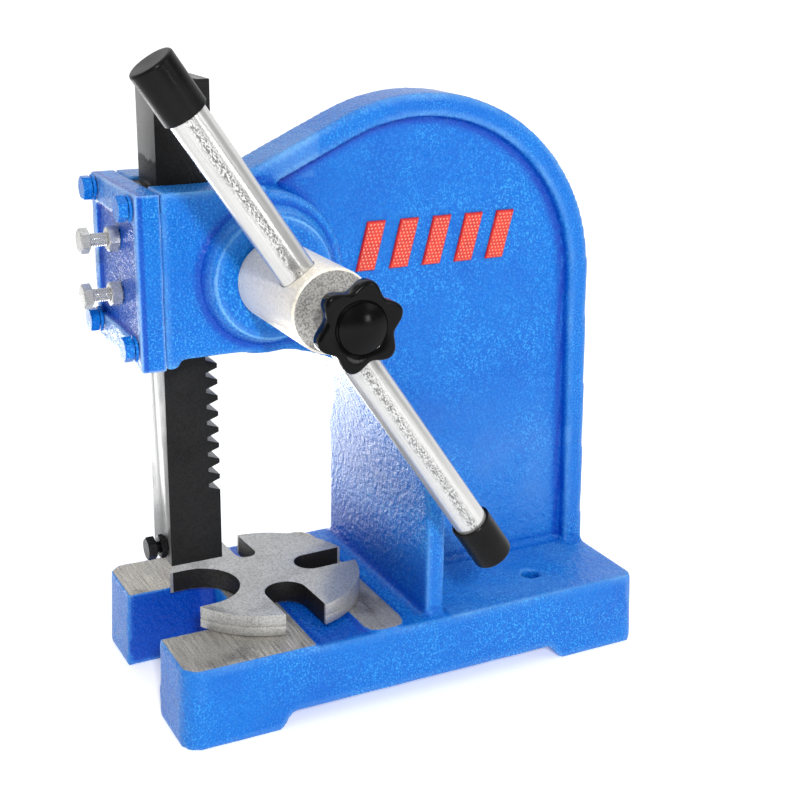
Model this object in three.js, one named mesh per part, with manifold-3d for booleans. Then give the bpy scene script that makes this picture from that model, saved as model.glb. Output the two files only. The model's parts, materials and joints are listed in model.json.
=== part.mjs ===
// Bench arbor press, one-ton class: a cast C-frame whose toothed ram is driven by a pinion
// and a sliding handle.
// Millimetres, +Z up, +X to the operator's right, +Y to the back.
// The origin is the centre of the rear foot's sole.
// Inside the file Y is counted from the front edge of the base; the last group moves it to the origin.
import * as THREE from "three";
import { mergeVertices } from "three/addons/utils/BufferGeometryUtils.js";
import Module from "manifold-3d";

const wasm = await Module();
wasm.setup();

// Fits
const gap = 0.3; // between two pieces that touch or run on each other
const slideGap = 0.35; // between the ram and its guideway
const over = 1; // how far a joined or cutting solid runs past a face

// Base
const baseWidth = 128;
const baseLength = 251;
const baseHeight = 38.5; // the painted top
const baseDraft = 1.4; // lean of each side from sole to top
const baseCorner = 5; // upright edges at the back
const frontCorner = 10; // and at the front
const padRise = 1.5; // machined pads above the painted top
const slotWidth = 50; // the open slot between the front legs
const slotLength = 44;
const slotCorner = 9;
const frontFoot = 48;
const rearFoot = 46;
const footLift = 8.3; // underside between the feet
const footRamp = 6.5;
const frontPadLength = 66;
const rearPadStart = 95;
const rearPadLength = 20;
const benchHole = 10; // diameter of the two rear bench bolt holes
const benchHoleSpacing = 75.6;
const benchHoleFromBack = 50.2;

// Column
const frameHeight = 287.2;
const webThickness = 12;
const rimThickness = 25.6;
const rimWidth = 11;
const rimRadius = 98.6;
const rimLean = 6.8; // how far the back edge leans out from the arc down to the base
const rimStartAngle = 115; // degrees, where the arc leaves for the head
const backMargin = 0.5; // rim to the back edge of the base
const flangeFront = 127.5;
const flangeThickness = 9.5;
const flangeWidth = 114;
const flangeStraight = 46; // straight stretch of the front face above the base
const flangeShoulder = 60.5; // height of the wide stretch above the base
const flareHeight = 47; // from the wide stretch up to the width of the head
const flareStart = 19; // pull of the flare's curve at its wide end
const flareEnd = 22; // and at its narrow end
const columnRoot = 4; // how deep the column runs into the base
const throatReach = 50; // where the throat's arch meets the flat underside of the head

// Head
const headWidth = 67.4;
const headHeight = 74;
const headDrop = 34.7; // top of the head below the top of the frame
const lipDrop = 4; // lip below the underside, behind the cover
const lipLength = 6;
const housingRadius = 37.2;
const housingFillet = 4.5;
const edgeRound = 3;
const hubBossHeight = 8.5;
const hubBossRoot = 32.2;
const hubBossFace = 27.4;
const endBossHeight = 5;
const endBossRoot = 25;
const endBossFace = 22.5;
const bossRound = 1.2;

// Ram
const ramSide = 25.4;
const ramCentre = 25.7; // from the front edge of the base
const ramDaylight = 19.1; // nose above the table at rest
const ramStandout = 44.5; // ram above the top of the head at rest
const gearModule = 2.5;
const pressureAngle = 20; // degrees
const firstGapRise = 38.1; // first tooth gap above the nose
const topBlank = 32; // toothless length at the top
const noseBore = 10.2;
const noseBoreDepth = 18;

// Pinion and shaft
const pinionTeeth = 16;
const pinionWidth = 25;
const toothThinning = 0.16; // taken off each flank of the pinion, for backlash
const shaftDrop = 39.2; // shaft axis below the top of the head
const hubDiameter = 36;
const hubLength = 60.2;
const hubChamfer = 0.9;
const journalDiameter = 25;
const seatDiameter = 19; // shaft inside the pinion and in the far bearing
const keyWidth = 5;
const keyHeight = 5;
const keyLength = 18;
const endWasherDiameter = 30;
const endWasherThickness = 3;
const endScrewDiameter = 8;
const endScrewLength = 16;
const endScrewHead = 5.3;
const toothTopClearance = 1.2; // pocket around the pinion

// Handle
const barDiameter = 16;
const barLength = 274.6;
const barReach = 44.9; // bar axis from the inner end of the hub
const barShift = 19.8; // how far the bar is slid towards its lower end
const handleAngle = -55.6; // degrees from +Y towards +Z
const gripWall = 1.2;
const gripLength = 23.5;
const gripEnd = 2;
const gripRound = 1.6;
const barChamfer = 0.8;

// Clamp knob
const studDiameter = 6;
const studLength = 19.5;
const studInKnob = 9;
const knobTip = 18.9; // radius over the lobes
const knobValley = 14.9;
const knobLobes = 6;
const knobPhase = 17.4; // degrees of one lobe from +Y
const lobeThickness = 6.8;
const lobeBevel = 1.3;
const collarDiameter = 17.6;
const collarHeight = 7.1;
const domeDiameter = 20.8;
const domeRise = 3;

// Cover, gib and fasteners
const coverThickness = 11.2;
const coverPanelDepth = 2;
const coverSideBand = 5;
const coverEndBand = 13;
const coverPanelCorner = 3;
const gibThickness = 4.2;
const gibPlay = 0.75; // between the gib strip and the cover
const gibInset = 1.5; // strip short of the head at each end
const boltSpacingX = 54;
const boltSpacingZ = 61.6;
const boltDiameter = 6;
const boltDepth = 16; // into the frame
const hexAcross = 10; // across flats
const hexHeight = 4;
const threadChamfer = 0.6;
const springWasherThickness = 1.6;
const springWasherWidth = 2.6;
const springWasherSplit = 1.2;
const adjusterSpacing = 25;
const lockNutThickness = 5;
const adjusterStandout = 8.4; // bare thread between nut and head
const noseNutThickness = 3.2;
const noseBoltHeight = 7.6; // above the nose
const noseBoltOffset = 4.5; // to the right of the ram's centre line
const noseBoltStandout = 2.2;
const adjusterTwist = 0.4; // radians between the two adjusters' hexagons

// Table plate
const plateDiameter = 95.4;
const plateThickness = 11;
const plateCentre = 65.6;
const plateTurn = 2.5; // degrees
const plateStep = 0.8; // the lower half stands out by this much
const plateChamfer = 0.5;
const plateSlots = [
  { width: 40, end: 15.6, angle: -90 },
  { width: 21, end: 14.2, angle: 0 },
  { width: 17, end: 17, angle: 90 },
  { width: 10.5, end: 19.9, angle: 180 },
]; // end: rounded end of the slot from the plate's centre
const pivotDiameter = 12;
const pivotInPlate = 6;
const pivotInBase = 20;

// Raised stripes on the web
const stripeCount = 5;
const stripePitch = 18;
const stripeWidth = 10;
const stripeHeight = 24;
const stripeLean = 6;
const stripeRelief = 1.6;
const stripeStart = 112;
const stripeTop = 60; // top of the stripes below the top of the frame

// Places that follow from the sizes
const radians = THREE.MathUtils.degToRad;
const headTop = frameHeight - headDrop;
const headBottom = headTop - headHeight;
const halfHead = headWidth / 2;
const padTop = baseHeight + padRise;
const plateBottom = padTop + gap;
const tableTop = plateBottom + plateThickness;
const ramBottom = tableTop + ramDaylight;
const ramLength = headTop + ramStandout - ramBottom;
const ramFront = ramCentre - ramSide / 2;
const ramBack = ramCentre + ramSide / 2;
const gibBack = ramFront - slideGap;
const gibFront = gibBack - gibThickness;
const coverBack = gibFront - gibPlay;
const coverFront = coverBack - coverThickness;
const headFront = coverBack + gap;
const toothPitch = Math.PI * gearModule;
const toothDepth = 2.25 * gearModule;
const gapCount = Math.floor((ramLength - firstGapRise - topBlank) / toothPitch) + 1;
const pitchRadius = (pinionTeeth * gearModule) / 2;
const shaftY = ramBack - gearModule + pitchRadius;
const shaftZ = headTop - shaftDrop;
const hubStart = halfHead + hubBossHeight + gap;
const hubEnd = hubStart + hubLength;
const endFace = -(halfHead + endBossHeight);
const barX = hubStart + barReach;
const coverBottom = headBottom - lipDrop;
const rimCentreY = baseLength - backMargin - rimLean - rimRadius;
const rimCentreZ = frameHeight - rimRadius;
const cavityHalf = pinionWidth / 2 + gap + slideGap;
const channelHalf = ramSide / 2 + slideGap;
const hexRadius = hexAcross / Math.sqrt(3);
const gripDiameter = barDiameter + 2 * gap + 2 * gripWall;

// Finishes
const finish = (color, metalness, roughness) =>
  new THREE.MeshStandardMaterial({ color, metalness, roughness });
const bluePaint = finish(0x0d4fd8, 0.1, 0.35);
const castIron = finish(0x8c8a86, 0.8, 0.5);
const darkSteel = finish(0x2a2a2b, 0.7, 0.5);
const satinSteel = finish(0xb4b2ad, 0.9, 0.4);
const brightSteel = finish(0xd4d4d2, 1, 0.25);
const blackPlastic = finish(0x101010, 0, 0.4);
const redPaint = finish(0xd92a12, 0.1, 0.5);

// Solids
function solidOf(geometry) {
  const bare = geometry.clone();
  bare.deleteAttribute("normal");
  bare.deleteAttribute("uv");
  const merged = mergeVertices(bare, 1e-4);
  return new wasm.Manifold(
    new wasm.Mesh({
      numProp: 3,
      vertProperties: merged.attributes.position.array,
      triVerts: new Uint32Array(merged.index.array),
    }),
  );
}

function geometryOf(solid) {
  const mesh = solid.getMesh();
  const geometry = new THREE.BufferGeometry();
  geometry.setAttribute("position", new THREE.BufferAttribute(mesh.vertProperties, 3));
  geometry.setIndex(new THREE.BufferAttribute(mesh.triVerts, 1));
  geometry.computeVertexNormals();
  return geometry;
}

const join = (...solids) => solids.reduce((all, next) => all.add(next));
const cut = (solid, ...tools) => tools.reduce((left, tool) => left.subtract(tool), solid);

function named(name, solid, material) {
  const mesh = new THREE.Mesh(geometryOf(solid), material);
  mesh.name = name;
  return mesh;
}

// An outline drawn in (y, z), carried along X.
function alongX(shape, from, to, curveSegments = 12) {
  const geometry = new THREE.ExtrudeGeometry(shape, {
    depth: to - from,
    bevelEnabled: false,
    curveSegments,
  });
  geometry.applyMatrix4(new THREE.Matrix4().set(0, 0, 1, from, 1, 0, 0, 0, 0, 1, 0, 0, 0, 0, 0, 1));
  return solidOf(geometry);
}

// An outline drawn in (x, z), carried along Y.
function alongY(shape, from, to, curveSegments = 12) {
  const geometry = new THREE.ExtrudeGeometry(shape, {
    depth: to - from,
    bevelEnabled: false,
    curveSegments,
  });
  geometry.applyMatrix4(new THREE.Matrix4().set(1, 0, 0, 0, 0, 0, -1, to, 0, 1, 0, 0, 0, 0, 0, 1));
  return solidOf(geometry);
}

// An outline drawn in (x, y), carried along Z.
function alongZ(shape, from, to, curveSegments = 12) {
  const geometry = new THREE.ExtrudeGeometry(shape, {
    depth: to - from,
    bevelEnabled: false,
    curveSegments,
  });
  geometry.translate(0, 0, from);
  return solidOf(geometry);
}

const rectangle = (x0, y0, x1, y1) =>
  new THREE.Shape().moveTo(x0, y0).lineTo(x1, y0).lineTo(x1, y1).lineTo(x0, y1).closePath();

function roundedRectangle(x0, y0, x1, y1, radius) {
  const shape = new THREE.Shape();
  shape.absarc(x1 - radius, y0 + radius, radius, -Math.PI / 2, 0);
  shape.absarc(x1 - radius, y1 - radius, radius, 0, Math.PI / 2);
  shape.absarc(x0 + radius, y1 - radius, radius, Math.PI / 2, Math.PI);
  shape.absarc(x0 + radius, y0 + radius, radius, Math.PI, Math.PI * 1.5);
  return shape.closePath();
}

// Turned solids: a profile of [radius, distance along the axis] that starts and ends on the axis.
function turned(profile, segments) {
  const points = profile.map(([radius, along]) => new THREE.Vector2(radius, along));
  return new THREE.LatheGeometry(points, segments);
}
const turnedX = (profile, segments = 36) =>
  solidOf(turned(profile, segments).rotateZ(-Math.PI / 2));
const turnedY = (profile, segments = 16) => solidOf(turned(profile, segments));
const turnedZ = (profile, segments = 24) =>
  solidOf(turned(profile, segments).rotateX(Math.PI / 2));

const rod = (radius, from, to) => [[0, from], [radius, from], [radius, to], [0, to]];
const chamferedRod = (radius, from, to, chamfer) => [
  [0, from],
  [radius - chamfer, from],
  [radius, from + chamfer],
  [radius, to - chamfer],
  [radius - chamfer, to],
  [0, to],
];

// Frame casting
function bluntDraft(solid) {
  return solid.warp((vertex) => {
    const lean = (baseDraft * Math.min(vertex[2], baseHeight)) / baseHeight;
    vertex[0] *= 1 - lean / (baseWidth / 2);
    vertex[1] += lean * (1 - (2 * vertex[1]) / baseLength);
  });
}

function baseOutline(length) {
  const half = baseWidth / 2;
  const inner = slotWidth / 2;
  const back = length < baseLength ? 0.01 : baseCorner;
  const shape = new THREE.Shape();
  shape.moveTo(inner, 0).lineTo(half - frontCorner, 0);
  shape.absarc(half - frontCorner, frontCorner, frontCorner, -Math.PI / 2, 0);
  shape.absarc(half - back, length - back, back, 0, Math.PI / 2);
  shape.absarc(back - half, length - back, back, Math.PI / 2, Math.PI);
  shape.absarc(frontCorner - half, frontCorner, frontCorner, Math.PI, Math.PI * 1.5);
  shape.lineTo(-inner, 0).lineTo(-inner, slotLength - slotCorner);
  shape.absarc(slotCorner - inner, slotLength - slotCorner, slotCorner, Math.PI, Math.PI / 2, true);
  shape.absarc(inner - slotCorner, slotLength - slotCorner, slotCorner, Math.PI / 2, 0, true);
  return shape.closePath();
}

function baseSolid() {
  const pads = alongZ(baseOutline(frontPadLength), baseHeight / 2, padTop, 4);
  const body = bluntDraft(join(alongZ(baseOutline(baseLength), 0, baseHeight, 4), pads));
  const padHalf = baseWidth / 2 - 1.5 * baseDraft;
  const rearPad = alongZ(
    roundedRectangle(-padHalf, rearPadStart, padHalf, rearPadStart + rearPadLength, slotCorner),
    baseHeight - over,
    padTop,
    4,
  );
  const arch = new THREE.Shape()
    .moveTo(frontFoot, -over)
    .lineTo(frontFoot, 0)
    .lineTo(frontFoot + footRamp, footLift)
    .lineTo(baseLength - rearFoot - footRamp, footLift)
    .lineTo(baseLength - rearFoot, 0)
    .lineTo(baseLength - rearFoot, -over)
    .closePath();
  return cut(join(body, rearPad), alongX(arch, -baseWidth, baseWidth));
}

// The throat: straight up from the base, then an arch that runs out flat under the head.
function throatCurve(path, offset, upwards) {
  const line = flangeFront + offset;
  const top = headBottom + offset;
  const bend = baseHeight + flangeStraight;
  const rise = 0.66 * (headBottom - bend);
  const reach = 0.62 * (flangeFront - throatReach);
  if (upwards) {
    path.lineTo(line, bend);
    path.bezierCurveTo(line, bend + rise, throatReach + reach, top, throatReach, top);
  } else {
    path.lineTo(throatReach, top);
    path.bezierCurveTo(throatReach + reach, top, line, bend + rise, line, bend);
  }
}

// The column's outer edge, from the head over the arc and down the back; inset moves it inwards.
function rimEdge(path, inset, front, foot) {
  const start = radians(rimStartAngle);
  const radius = rimRadius - inset;
  const arcY = rimCentreY + radius * Math.cos(start);
  const arcZ = rimCentreZ + radius * Math.sin(start);
  path.lineTo(front, arcZ + (arcY - front) / Math.tan(start));
  path.absarc(rimCentreY, rimCentreZ, radius, start, 0, true);
  return path.lineTo(baseLength - backMargin - inset, foot).closePath();
}

function columnSolid() {
  const foot = baseHeight - columnRoot;
  const outline = new THREE.Shape().moveTo(flangeFront + over, foot);
  throatCurve(outline, over, true);
  rimEdge(outline, 0, throatReach + 2 * over, foot);
  const inside = new THREE.Shape().moveTo(0, foot - over);
  rimEdge(inside, rimWidth, 0, foot - over);
  const web = alongX(outline, -webThickness / 2, webThickness / 2, 20);
  const rim = cut(
    alongX(outline, -rimThickness / 2, rimThickness / 2, 20),
    alongX(inside, -rimThickness, rimThickness, 20),
  );
  return join(web, rim);
}

function flangeSolid() {
  const foot = baseHeight - columnRoot;
  const side = new THREE.Shape().moveTo(flangeFront, foot);
  throatCurve(side, 0, true);
  throatCurve(side, flangeThickness, false);
  side.lineTo(flangeFront + flangeThickness, foot).closePath();
  const half = flangeWidth / 2;
  const shoulder = baseHeight + flangeShoulder;
  const flareTop = shoulder + flareHeight;
  const front = new THREE.Shape().moveTo(-half, foot).lineTo(half, foot).lineTo(half, shoulder);
  const [low, high] = [shoulder + flareStart, flareTop - flareEnd];
  front.bezierCurveTo(half, low, halfHead, high, halfHead, flareTop);
  front.lineTo(halfHead, headTop).lineTo(-halfHead, headTop).lineTo(-halfHead, flareTop);
  front.bezierCurveTo(-halfHead, high, -half, low, -half, shoulder);
  return alongX(side.closePath(), -half, half, 14).intersect(
    alongY(front.closePath(), 0, flangeFront + 2 * flangeThickness, 8),
  );
}

function filletArc(centreRadius, centreAlong, radius, from, to, steps = 3) {
  return Array.from({ length: steps + 1 }, (_, i) => {
    const angle = radians(from + ((to - from) * i) / steps);
    return [centreRadius + radius * Math.cos(angle), centreAlong + radius * Math.sin(angle)];
  });
}

function headSolid() {
  const block = alongX(
    rectangle(headFront, headBottom, shaftY, headTop),
    -halfHead,
    halfHead,
  );
  const lip = alongX(
    rectangle(headFront, coverBottom, headFront + lipLength, headBottom + over),
    -halfHead,
    halfHead,
  );
  const web = webThickness / 2;
  const outer = housingRadius - edgeRound;
  const side = halfHead - edgeRound;
  const root = housingRadius + housingFillet;
  const half = [
    [root, web],
    ...filletArc(root, web + housingFillet, housingFillet, 270, 180),
    ...filletArc(outer, side, edgeRound, 0, 90),
  ];
  const mirrored = half.map(([radius, along]) => [radius, -along]).reverse();
  const housing = turnedX([[0, -halfHead], ...mirrored, ...half, [0, halfHead]], 48);
  return join(block, lip, housing.translate([0, shaftY, shaftZ]));
}

function bossSolids() {
  const hubFace = halfHead + hubBossHeight;
  const hubBoss = turnedX([
    [0, halfHead - over],
    [hubBossRoot, halfHead - over],
    [hubBossRoot, halfHead],
    [hubBossRoot - 1.5 * bossRound, halfHead + bossRound],
    [hubBossFace + bossRound, hubFace - bossRound],
    [hubBossFace - bossRound / 3, hubFace],
    [0, hubFace],
  ]);
  const endBoss = turnedX([
    [0, endFace],
    [endBossFace, endFace],
    [endBossFace + bossRound, endFace + bossRound],
    [endBossRoot, over - halfHead],
    [0, over - halfHead],
  ]);
  return join(hubBoss, endBoss).translate([0, shaftY, shaftZ]);
}

function headHollows() {
  const margin = 2;
  const channel = alongZ(
    rectangle(-channelHalf, headFront - margin, channelHalf, ramBack + slideGap),
    coverBottom - margin,
    headTop + margin + headDrop,
  );
  const cavityRadius = pitchRadius + gearModule + toothTopClearance;
  const pocket = new THREE.Shape().moveTo(ramCentre, shaftZ - cavityRadius);
  pocket.lineTo(shaftY, shaftZ - cavityRadius);
  pocket.absarc(shaftY, shaftZ, cavityRadius, -Math.PI / 2, Math.PI / 2);
  pocket.lineTo(ramCentre, shaftZ + cavityRadius).closePath();
  const hubFace = halfHead + hubBossHeight;
  const bearings = join(
    turnedX(rod(journalDiameter / 2 + gap, 0, hubFace + margin)),
    turnedX(rod(seatDiameter / 2 + gap, endFace - margin, 0)),
  ).translate([0, shaftY, shaftZ]);
  return [channel, alongX(pocket, -cavityHalf, cavityHalf, 14), bearings];
}

const coverCorners = [
  ["top_left", -1, 1],
  ["top_right", 1, 1],
  ["bottom_left", -1, -1],
  ["bottom_right", 1, -1],
].map(([place, x, z]) => ({
  place,
  x: (x * boltSpacingX) / 2,
  z: headBottom + headHeight / 2 + (z * boltSpacingZ) / 2,
}));

function frameHoles() {
  const bolts = coverCorners.map(({ x, z }) =>
    turnedY(rod(boltDiameter / 2 + gap, headFront - over, headFront + boltDepth + over)).translate(
      [x, 0, z],
    ),
  );
  const bench = [-1, 1].map((side) =>
    turnedZ(rod(benchHole / 2, -over, padTop)).translate([
      (side * benchHoleSpacing) / 2,
      baseLength - benchHoleFromBack,
      0,
    ]),
  );
  const pivotFoot = plateBottom - pivotInBase - gap;
  const pivot = turnedZ(rod(pivotDiameter / 2 + gap, pivotFoot, padTop + over));
  return [...bolts, ...bench, pivot.translate([0, plateCentre, 0])];
}

function frameCasting() {
  const metal = join(baseSolid(), columnSolid(), flangeSolid(), headSolid(), bossSolids());
  return named("frame_casting", cut(metal, ...headHollows(), ...frameHoles()), bluePaint);
}

// Raised stripes: a plain hazard-style row cast on the right face of the web
function markStripes() {
  const top = frameHeight - stripeTop;
  const face = webThickness / 2 + gap;
  return Array.from({ length: stripeCount }, (_, i) => {
    const y = stripeStart + i * stripePitch;
    const outline = new THREE.Shape()
      .moveTo(y, top - stripeHeight)
      .lineTo(y + stripeWidth, top - stripeHeight)
      .lineTo(y + stripeWidth + stripeLean, top)
      .lineTo(y + stripeLean, top)
      .closePath();
    return named(`mark_stripe_${i + 1}`, alongX(outline, face, face + stripeRelief), redPaint);
  });
}

// Fasteners point along +Y with the underside of the head at y = 0.
function hexPrism(from, to) {
  const geometry = new THREE.CylinderGeometry(hexRadius, hexRadius, to - from, 6);
  geometry.translate(0, (from + to) / 2, 0);
  return solidOf(geometry);
}

function hexBolt(diameter, length) {
  const shank = turnedY(chamferedRod(diameter / 2, -over, length, threadChamfer));
  return join(hexPrism(-hexHeight, 0), shank);
}

const hexNut = (thickness) =>
  cut(hexPrism(0, thickness), turnedY(rod(boltDiameter / 2 + gap, -over, thickness + over)));

function springWasher() {
  const inner = boltDiameter / 2 + gap;
  const outer = inner + springWasherWidth;
  const ring = cut(
    turnedY(rod(outer, 0, springWasherThickness)),
    turnedY(rod(inner, -over, springWasherThickness + over)),
  );
  const split = alongZ(
    rectangle(-springWasherSplit / 2, -over, springWasherSplit / 2, springWasherThickness + over),
    0,
    2 * outer,
  );
  return cut(ring, split);
}

function coverPlate() {
  const inside = halfHead - coverSideBand;
  const panelBottom = coverBottom + coverEndBand;
  const panelTop = headTop - coverEndBand;
  const plate = alongX(
    rectangle(coverFront, coverBottom, coverBack, headTop),
    -halfHead,
    halfHead,
  );
  const panel = alongY(
    roundedRectangle(-inside, panelBottom, inside, panelTop, coverPanelCorner),
    coverFront - over,
    coverFront + coverPanelDepth,
    4,
  );
  const hole = (x, z) =>
    turnedY(rod(boltDiameter / 2 + gap, coverFront - over, coverBack + over)).translate([x, 0, z]);
  return cut(
    plate,
    panel,
    ...coverCorners.map(({ x, z }) => hole(x, z)),
    ...adjusterHeights().map((z) => hole(0, z)),
  );
}

function adjusterHeights() {
  const middle = headBottom + headHeight / 2;
  return [middle + adjusterSpacing / 2, middle - adjusterSpacing / 2];
}

function coverParts() {
  const cover = named("front_cover", coverPlate(), bluePaint);
  const parts = [cover];
  coverCorners.forEach(({ place, x, z }) => {
    const washer = named(`cover_washer_${place}`, springWasher(), bluePaint);
    washer.position.set(x, coverFront - gap - springWasherThickness, z);
    const reach = coverThickness + boltDepth + springWasherThickness + 2 * gap;
    const bolt = named(`cover_bolt_${place}`, hexBolt(boltDiameter, reach), bluePaint);
    bolt.position.set(x, coverFront - 2 * gap - springWasherThickness, z);
    parts.push(washer, bolt);
  });
  return parts;
}

function gibParts() {
  const strip = alongX(
    rectangle(gibFront, coverBottom + gibInset, gibBack, headTop - gibInset),
    slideGap - channelHalf,
    channelHalf - slideGap,
  );
  const parts = [named("gib_strip", strip, satinSteel)];
  const seat = coverFront + coverPanelDepth - gap;
  ["upper", "lower"].forEach((place, i) => {
    const z = adjusterHeights()[i];
    const nut = named(`adjuster_nut_${place}`, hexNut(lockNutThickness), brightSteel);
    nut.position.set(0, seat - lockNutThickness, z);
    nut.rotation.y = i * adjusterTwist;
    const head = seat - lockNutThickness - adjusterStandout;
    const screw = named(
      `gib_adjuster_${place}`,
      hexBolt(boltDiameter, gibFront - gap - head),
      brightSteel,
    );
    screw.position.set(0, head, z);
    screw.rotation.y = (i + 1) * adjusterTwist;
    parts.push(nut, screw);
  });
  return parts;
}

// Ram: a square bar with straight-sided rack teeth cut into its back
function ramSolid() {
  const slope = Math.tan(radians(pressureAngle));
  const mouth = toothPitch / 4 + gearModule * slope;
  const floor = mouth - toothDepth * slope;
  const outline = new THREE.Shape();
  outline.moveTo(ramFront, ramBottom).lineTo(ramBack, ramBottom);
  for (let i = 0; i < gapCount; i++) {
    const z = ramBottom + firstGapRise + i * toothPitch;
    outline.lineTo(ramBack, z - mouth).lineTo(ramBack - toothDepth, z - floor);
    outline.lineTo(ramBack - toothDepth, z + floor).lineTo(ramBack, z + mouth);
  }
  outline.lineTo(ramBack, ramBottom + ramLength).lineTo(ramFront, ramBottom + ramLength).closePath();
  const bore = turnedZ(rod(noseBore / 2, ramBottom - over, ramBottom + noseBoreDepth));
  const boltHole = turnedY(rod(boltDiameter / 2 + gap, ramFront - over, ramCentre));
  return cut(
    alongX(outline, -ramSide / 2, ramSide / 2),
    bore.translate([0, ramCentre, 0]),
    boltHole.translate([noseBoltOffset, 0, ramBottom + noseBoltHeight]),
  );
}

function ramParts() {
  const z = ramBottom + noseBoltHeight;
  const seat = ramFront - gap;
  const nut = named("nose_set_nut", hexNut(noseNutThickness), darkSteel);
  nut.position.set(noseBoltOffset, seat - noseNutThickness, z);
  const head = seat - noseNutThickness - noseBoltStandout;
  const bolt = named(
    "nose_set_bolt",
    hexBolt(boltDiameter, ramCentre - noseBore / 2 - head),
    darkSteel,
  );
  bolt.position.set(noseBoltOffset, head, z);
  bolt.rotation.y = adjusterTwist;
  return [named("ram", ramSolid(), darkSteel), nut, bolt];
}

// Pinion: involute flanks, one tooth on the rack's nearest gap
function pinionOutline() {
  const base = pitchRadius * Math.cos(radians(pressureAngle));
  const root = pitchRadius - 1.25 * gearModule;
  const tip = pitchRadius + gearModule;
  const involute = (radius) => {
    const angle = Math.acos(Math.min(1, base / radius));
    return Math.tan(angle) - angle;
  };
  const halfAt = (radius) =>
    Math.PI / (2 * pinionTeeth) -
    toothThinning / pitchRadius +
    involute(pitchRadius) -
    involute(Math.max(radius, base));
  const flank = [root, base, pitchRadius, tip];
  const gapHeight = ramBottom + firstGapRise;
  const below = (shaftZ - gapHeight) % toothPitch;
  const phase = Math.PI + below / pitchRadius;
  const points = [];
  for (let i = 0; i < pinionTeeth; i++) {
    const middle = phase + (i * 2 * Math.PI) / pinionTeeth;
    flank.forEach((radius) => points.push([radius, middle - halfAt(radius)]));
    [...flank].reverse().forEach((radius) => points.push([radius, middle + halfAt(radius)]));
  }
  return new THREE.Shape(
    points.map(([r, angle]) => new THREE.Vector2(r * Math.cos(angle), r * Math.sin(angle))),
  );
}

function keyBox(extra) {
  const low = seatDiameter / 2 - keyHeight / 2;
  return alongX(
    rectangle(-keyWidth / 2 - extra, low - extra, keyWidth / 2 + extra, low + keyHeight + extra),
    -keyLength / 2 - extra,
    keyLength / 2 + extra,
  );
}

function shaftSolid() {
  const hub = turnedX(chamferedRod(hubDiameter / 2, hubStart, hubEnd, hubChamfer), 40);
  const shoulder = cavityHalf + gap;
  const journal = turnedX(rod(journalDiameter / 2, shoulder, hubStart + over));
  const seat = turnedX(rod(seatDiameter / 2, endFace + gap, shoulder + over));
  const barHole = turnedY(rod(barDiameter / 2 + gap, -hubDiameter, hubDiameter), 24);
  const studHole = turnedX(rod(studDiameter / 2 + gap, barX, hubEnd + over), 16);
  const screwDepth = endFace + endScrewLength + 2 * over;
  const screwHole = turnedX(rod(endScrewDiameter / 2 + gap, endFace - over, screwDepth), 16);
  return cut(
    join(hub, journal, seat),
    barHole.rotate([handleAngle, 0, 0]).translate([barX, 0, 0]),
    studHole,
    screwHole,
    keyBox(gap),
  );
}

function pinionSolid() {
  const blank = alongX(pinionOutline(), -pinionWidth / 2, pinionWidth / 2);
  const bore = turnedX(rod(seatDiameter / 2 + gap, -pinionWidth, pinionWidth));
  const low = seatDiameter / 2 - keyHeight / 2;
  const keyway = alongX(
    rectangle(-keyWidth / 2 - gap, 0, keyWidth / 2 + gap, low + keyHeight + gap),
    -pinionWidth,
    pinionWidth,
  );
  return cut(blank, bore, keyway);
}

function shaftParts() {
  const washerBack = endFace - gap;
  const washerFront = washerBack - endWasherThickness;
  const washer = cut(
    turnedX(rod(endWasherDiameter / 2, washerFront, washerBack), 24),
    turnedX(rod(endScrewDiameter / 2 + gap, washerFront - over, washerBack + over), 16),
  );
  const screwSeat = washerFront - gap;
  const headSize = (hexRadius * endScrewDiameter) / boltDiameter;
  const head = new THREE.CylinderGeometry(headSize, headSize, endScrewHead, 6);
  head.rotateZ(Math.PI / 2).translate(screwSeat - endScrewHead / 2, 0, 0);
  const tip = endFace + endScrewLength;
  const shank = chamferedRod(endScrewDiameter / 2, screwSeat - over, tip, threadChamfer);
  const screw = join(solidOf(head), turnedX(shank, 16));
  return [
    named("pinion_shaft", shaftSolid(), satinSteel),
    named("pinion_gear", pinionSolid(), satinSteel),
    named("drive_key", keyBox(0), brightSteel),
    named("shaft_end_washer", washer, brightSteel),
    named("shaft_end_screw", screw, brightSteel),
  ];
}

// Handle: built along its own +Y, turned by the group it sits in
function gripSolid() {
  const radius = gripDiameter / 2;
  const body = turnedY(
    [
      [0, 0],
      [radius, 0],
      ...filletArc(radius - gripRound, gripLength - gripRound, gripRound, 0, 90),
      [0, gripLength],
    ],
    24,
  );
  return cut(body, turnedY(rod(barDiameter / 2 + gap, -over, gripLength - gripEnd), 24));
}

function handleParts() {
  const rodProfile = chamferedRod(barDiameter / 2, -barLength / 2, barLength / 2, barChamfer);
  const bar = named("handle_bar", turnedY(rodProfile, 24), brightSteel);
  const start = barLength / 2 + gap - (gripLength - gripEnd);
  const lower = named("lower_grip", gripSolid(), blackPlastic);
  lower.position.y = start;
  const upper = named("upper_grip", gripSolid(), blackPlastic);
  upper.position.y = -start;
  upper.rotation.z = Math.PI;
  const handle = new THREE.Group().add(bar, lower, upper);
  const lean = radians(handleAngle);
  handle.position.set(barX, barShift * Math.cos(lean), barShift * Math.sin(lean));
  handle.rotation.x = lean;
  return handle;
}

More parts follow.
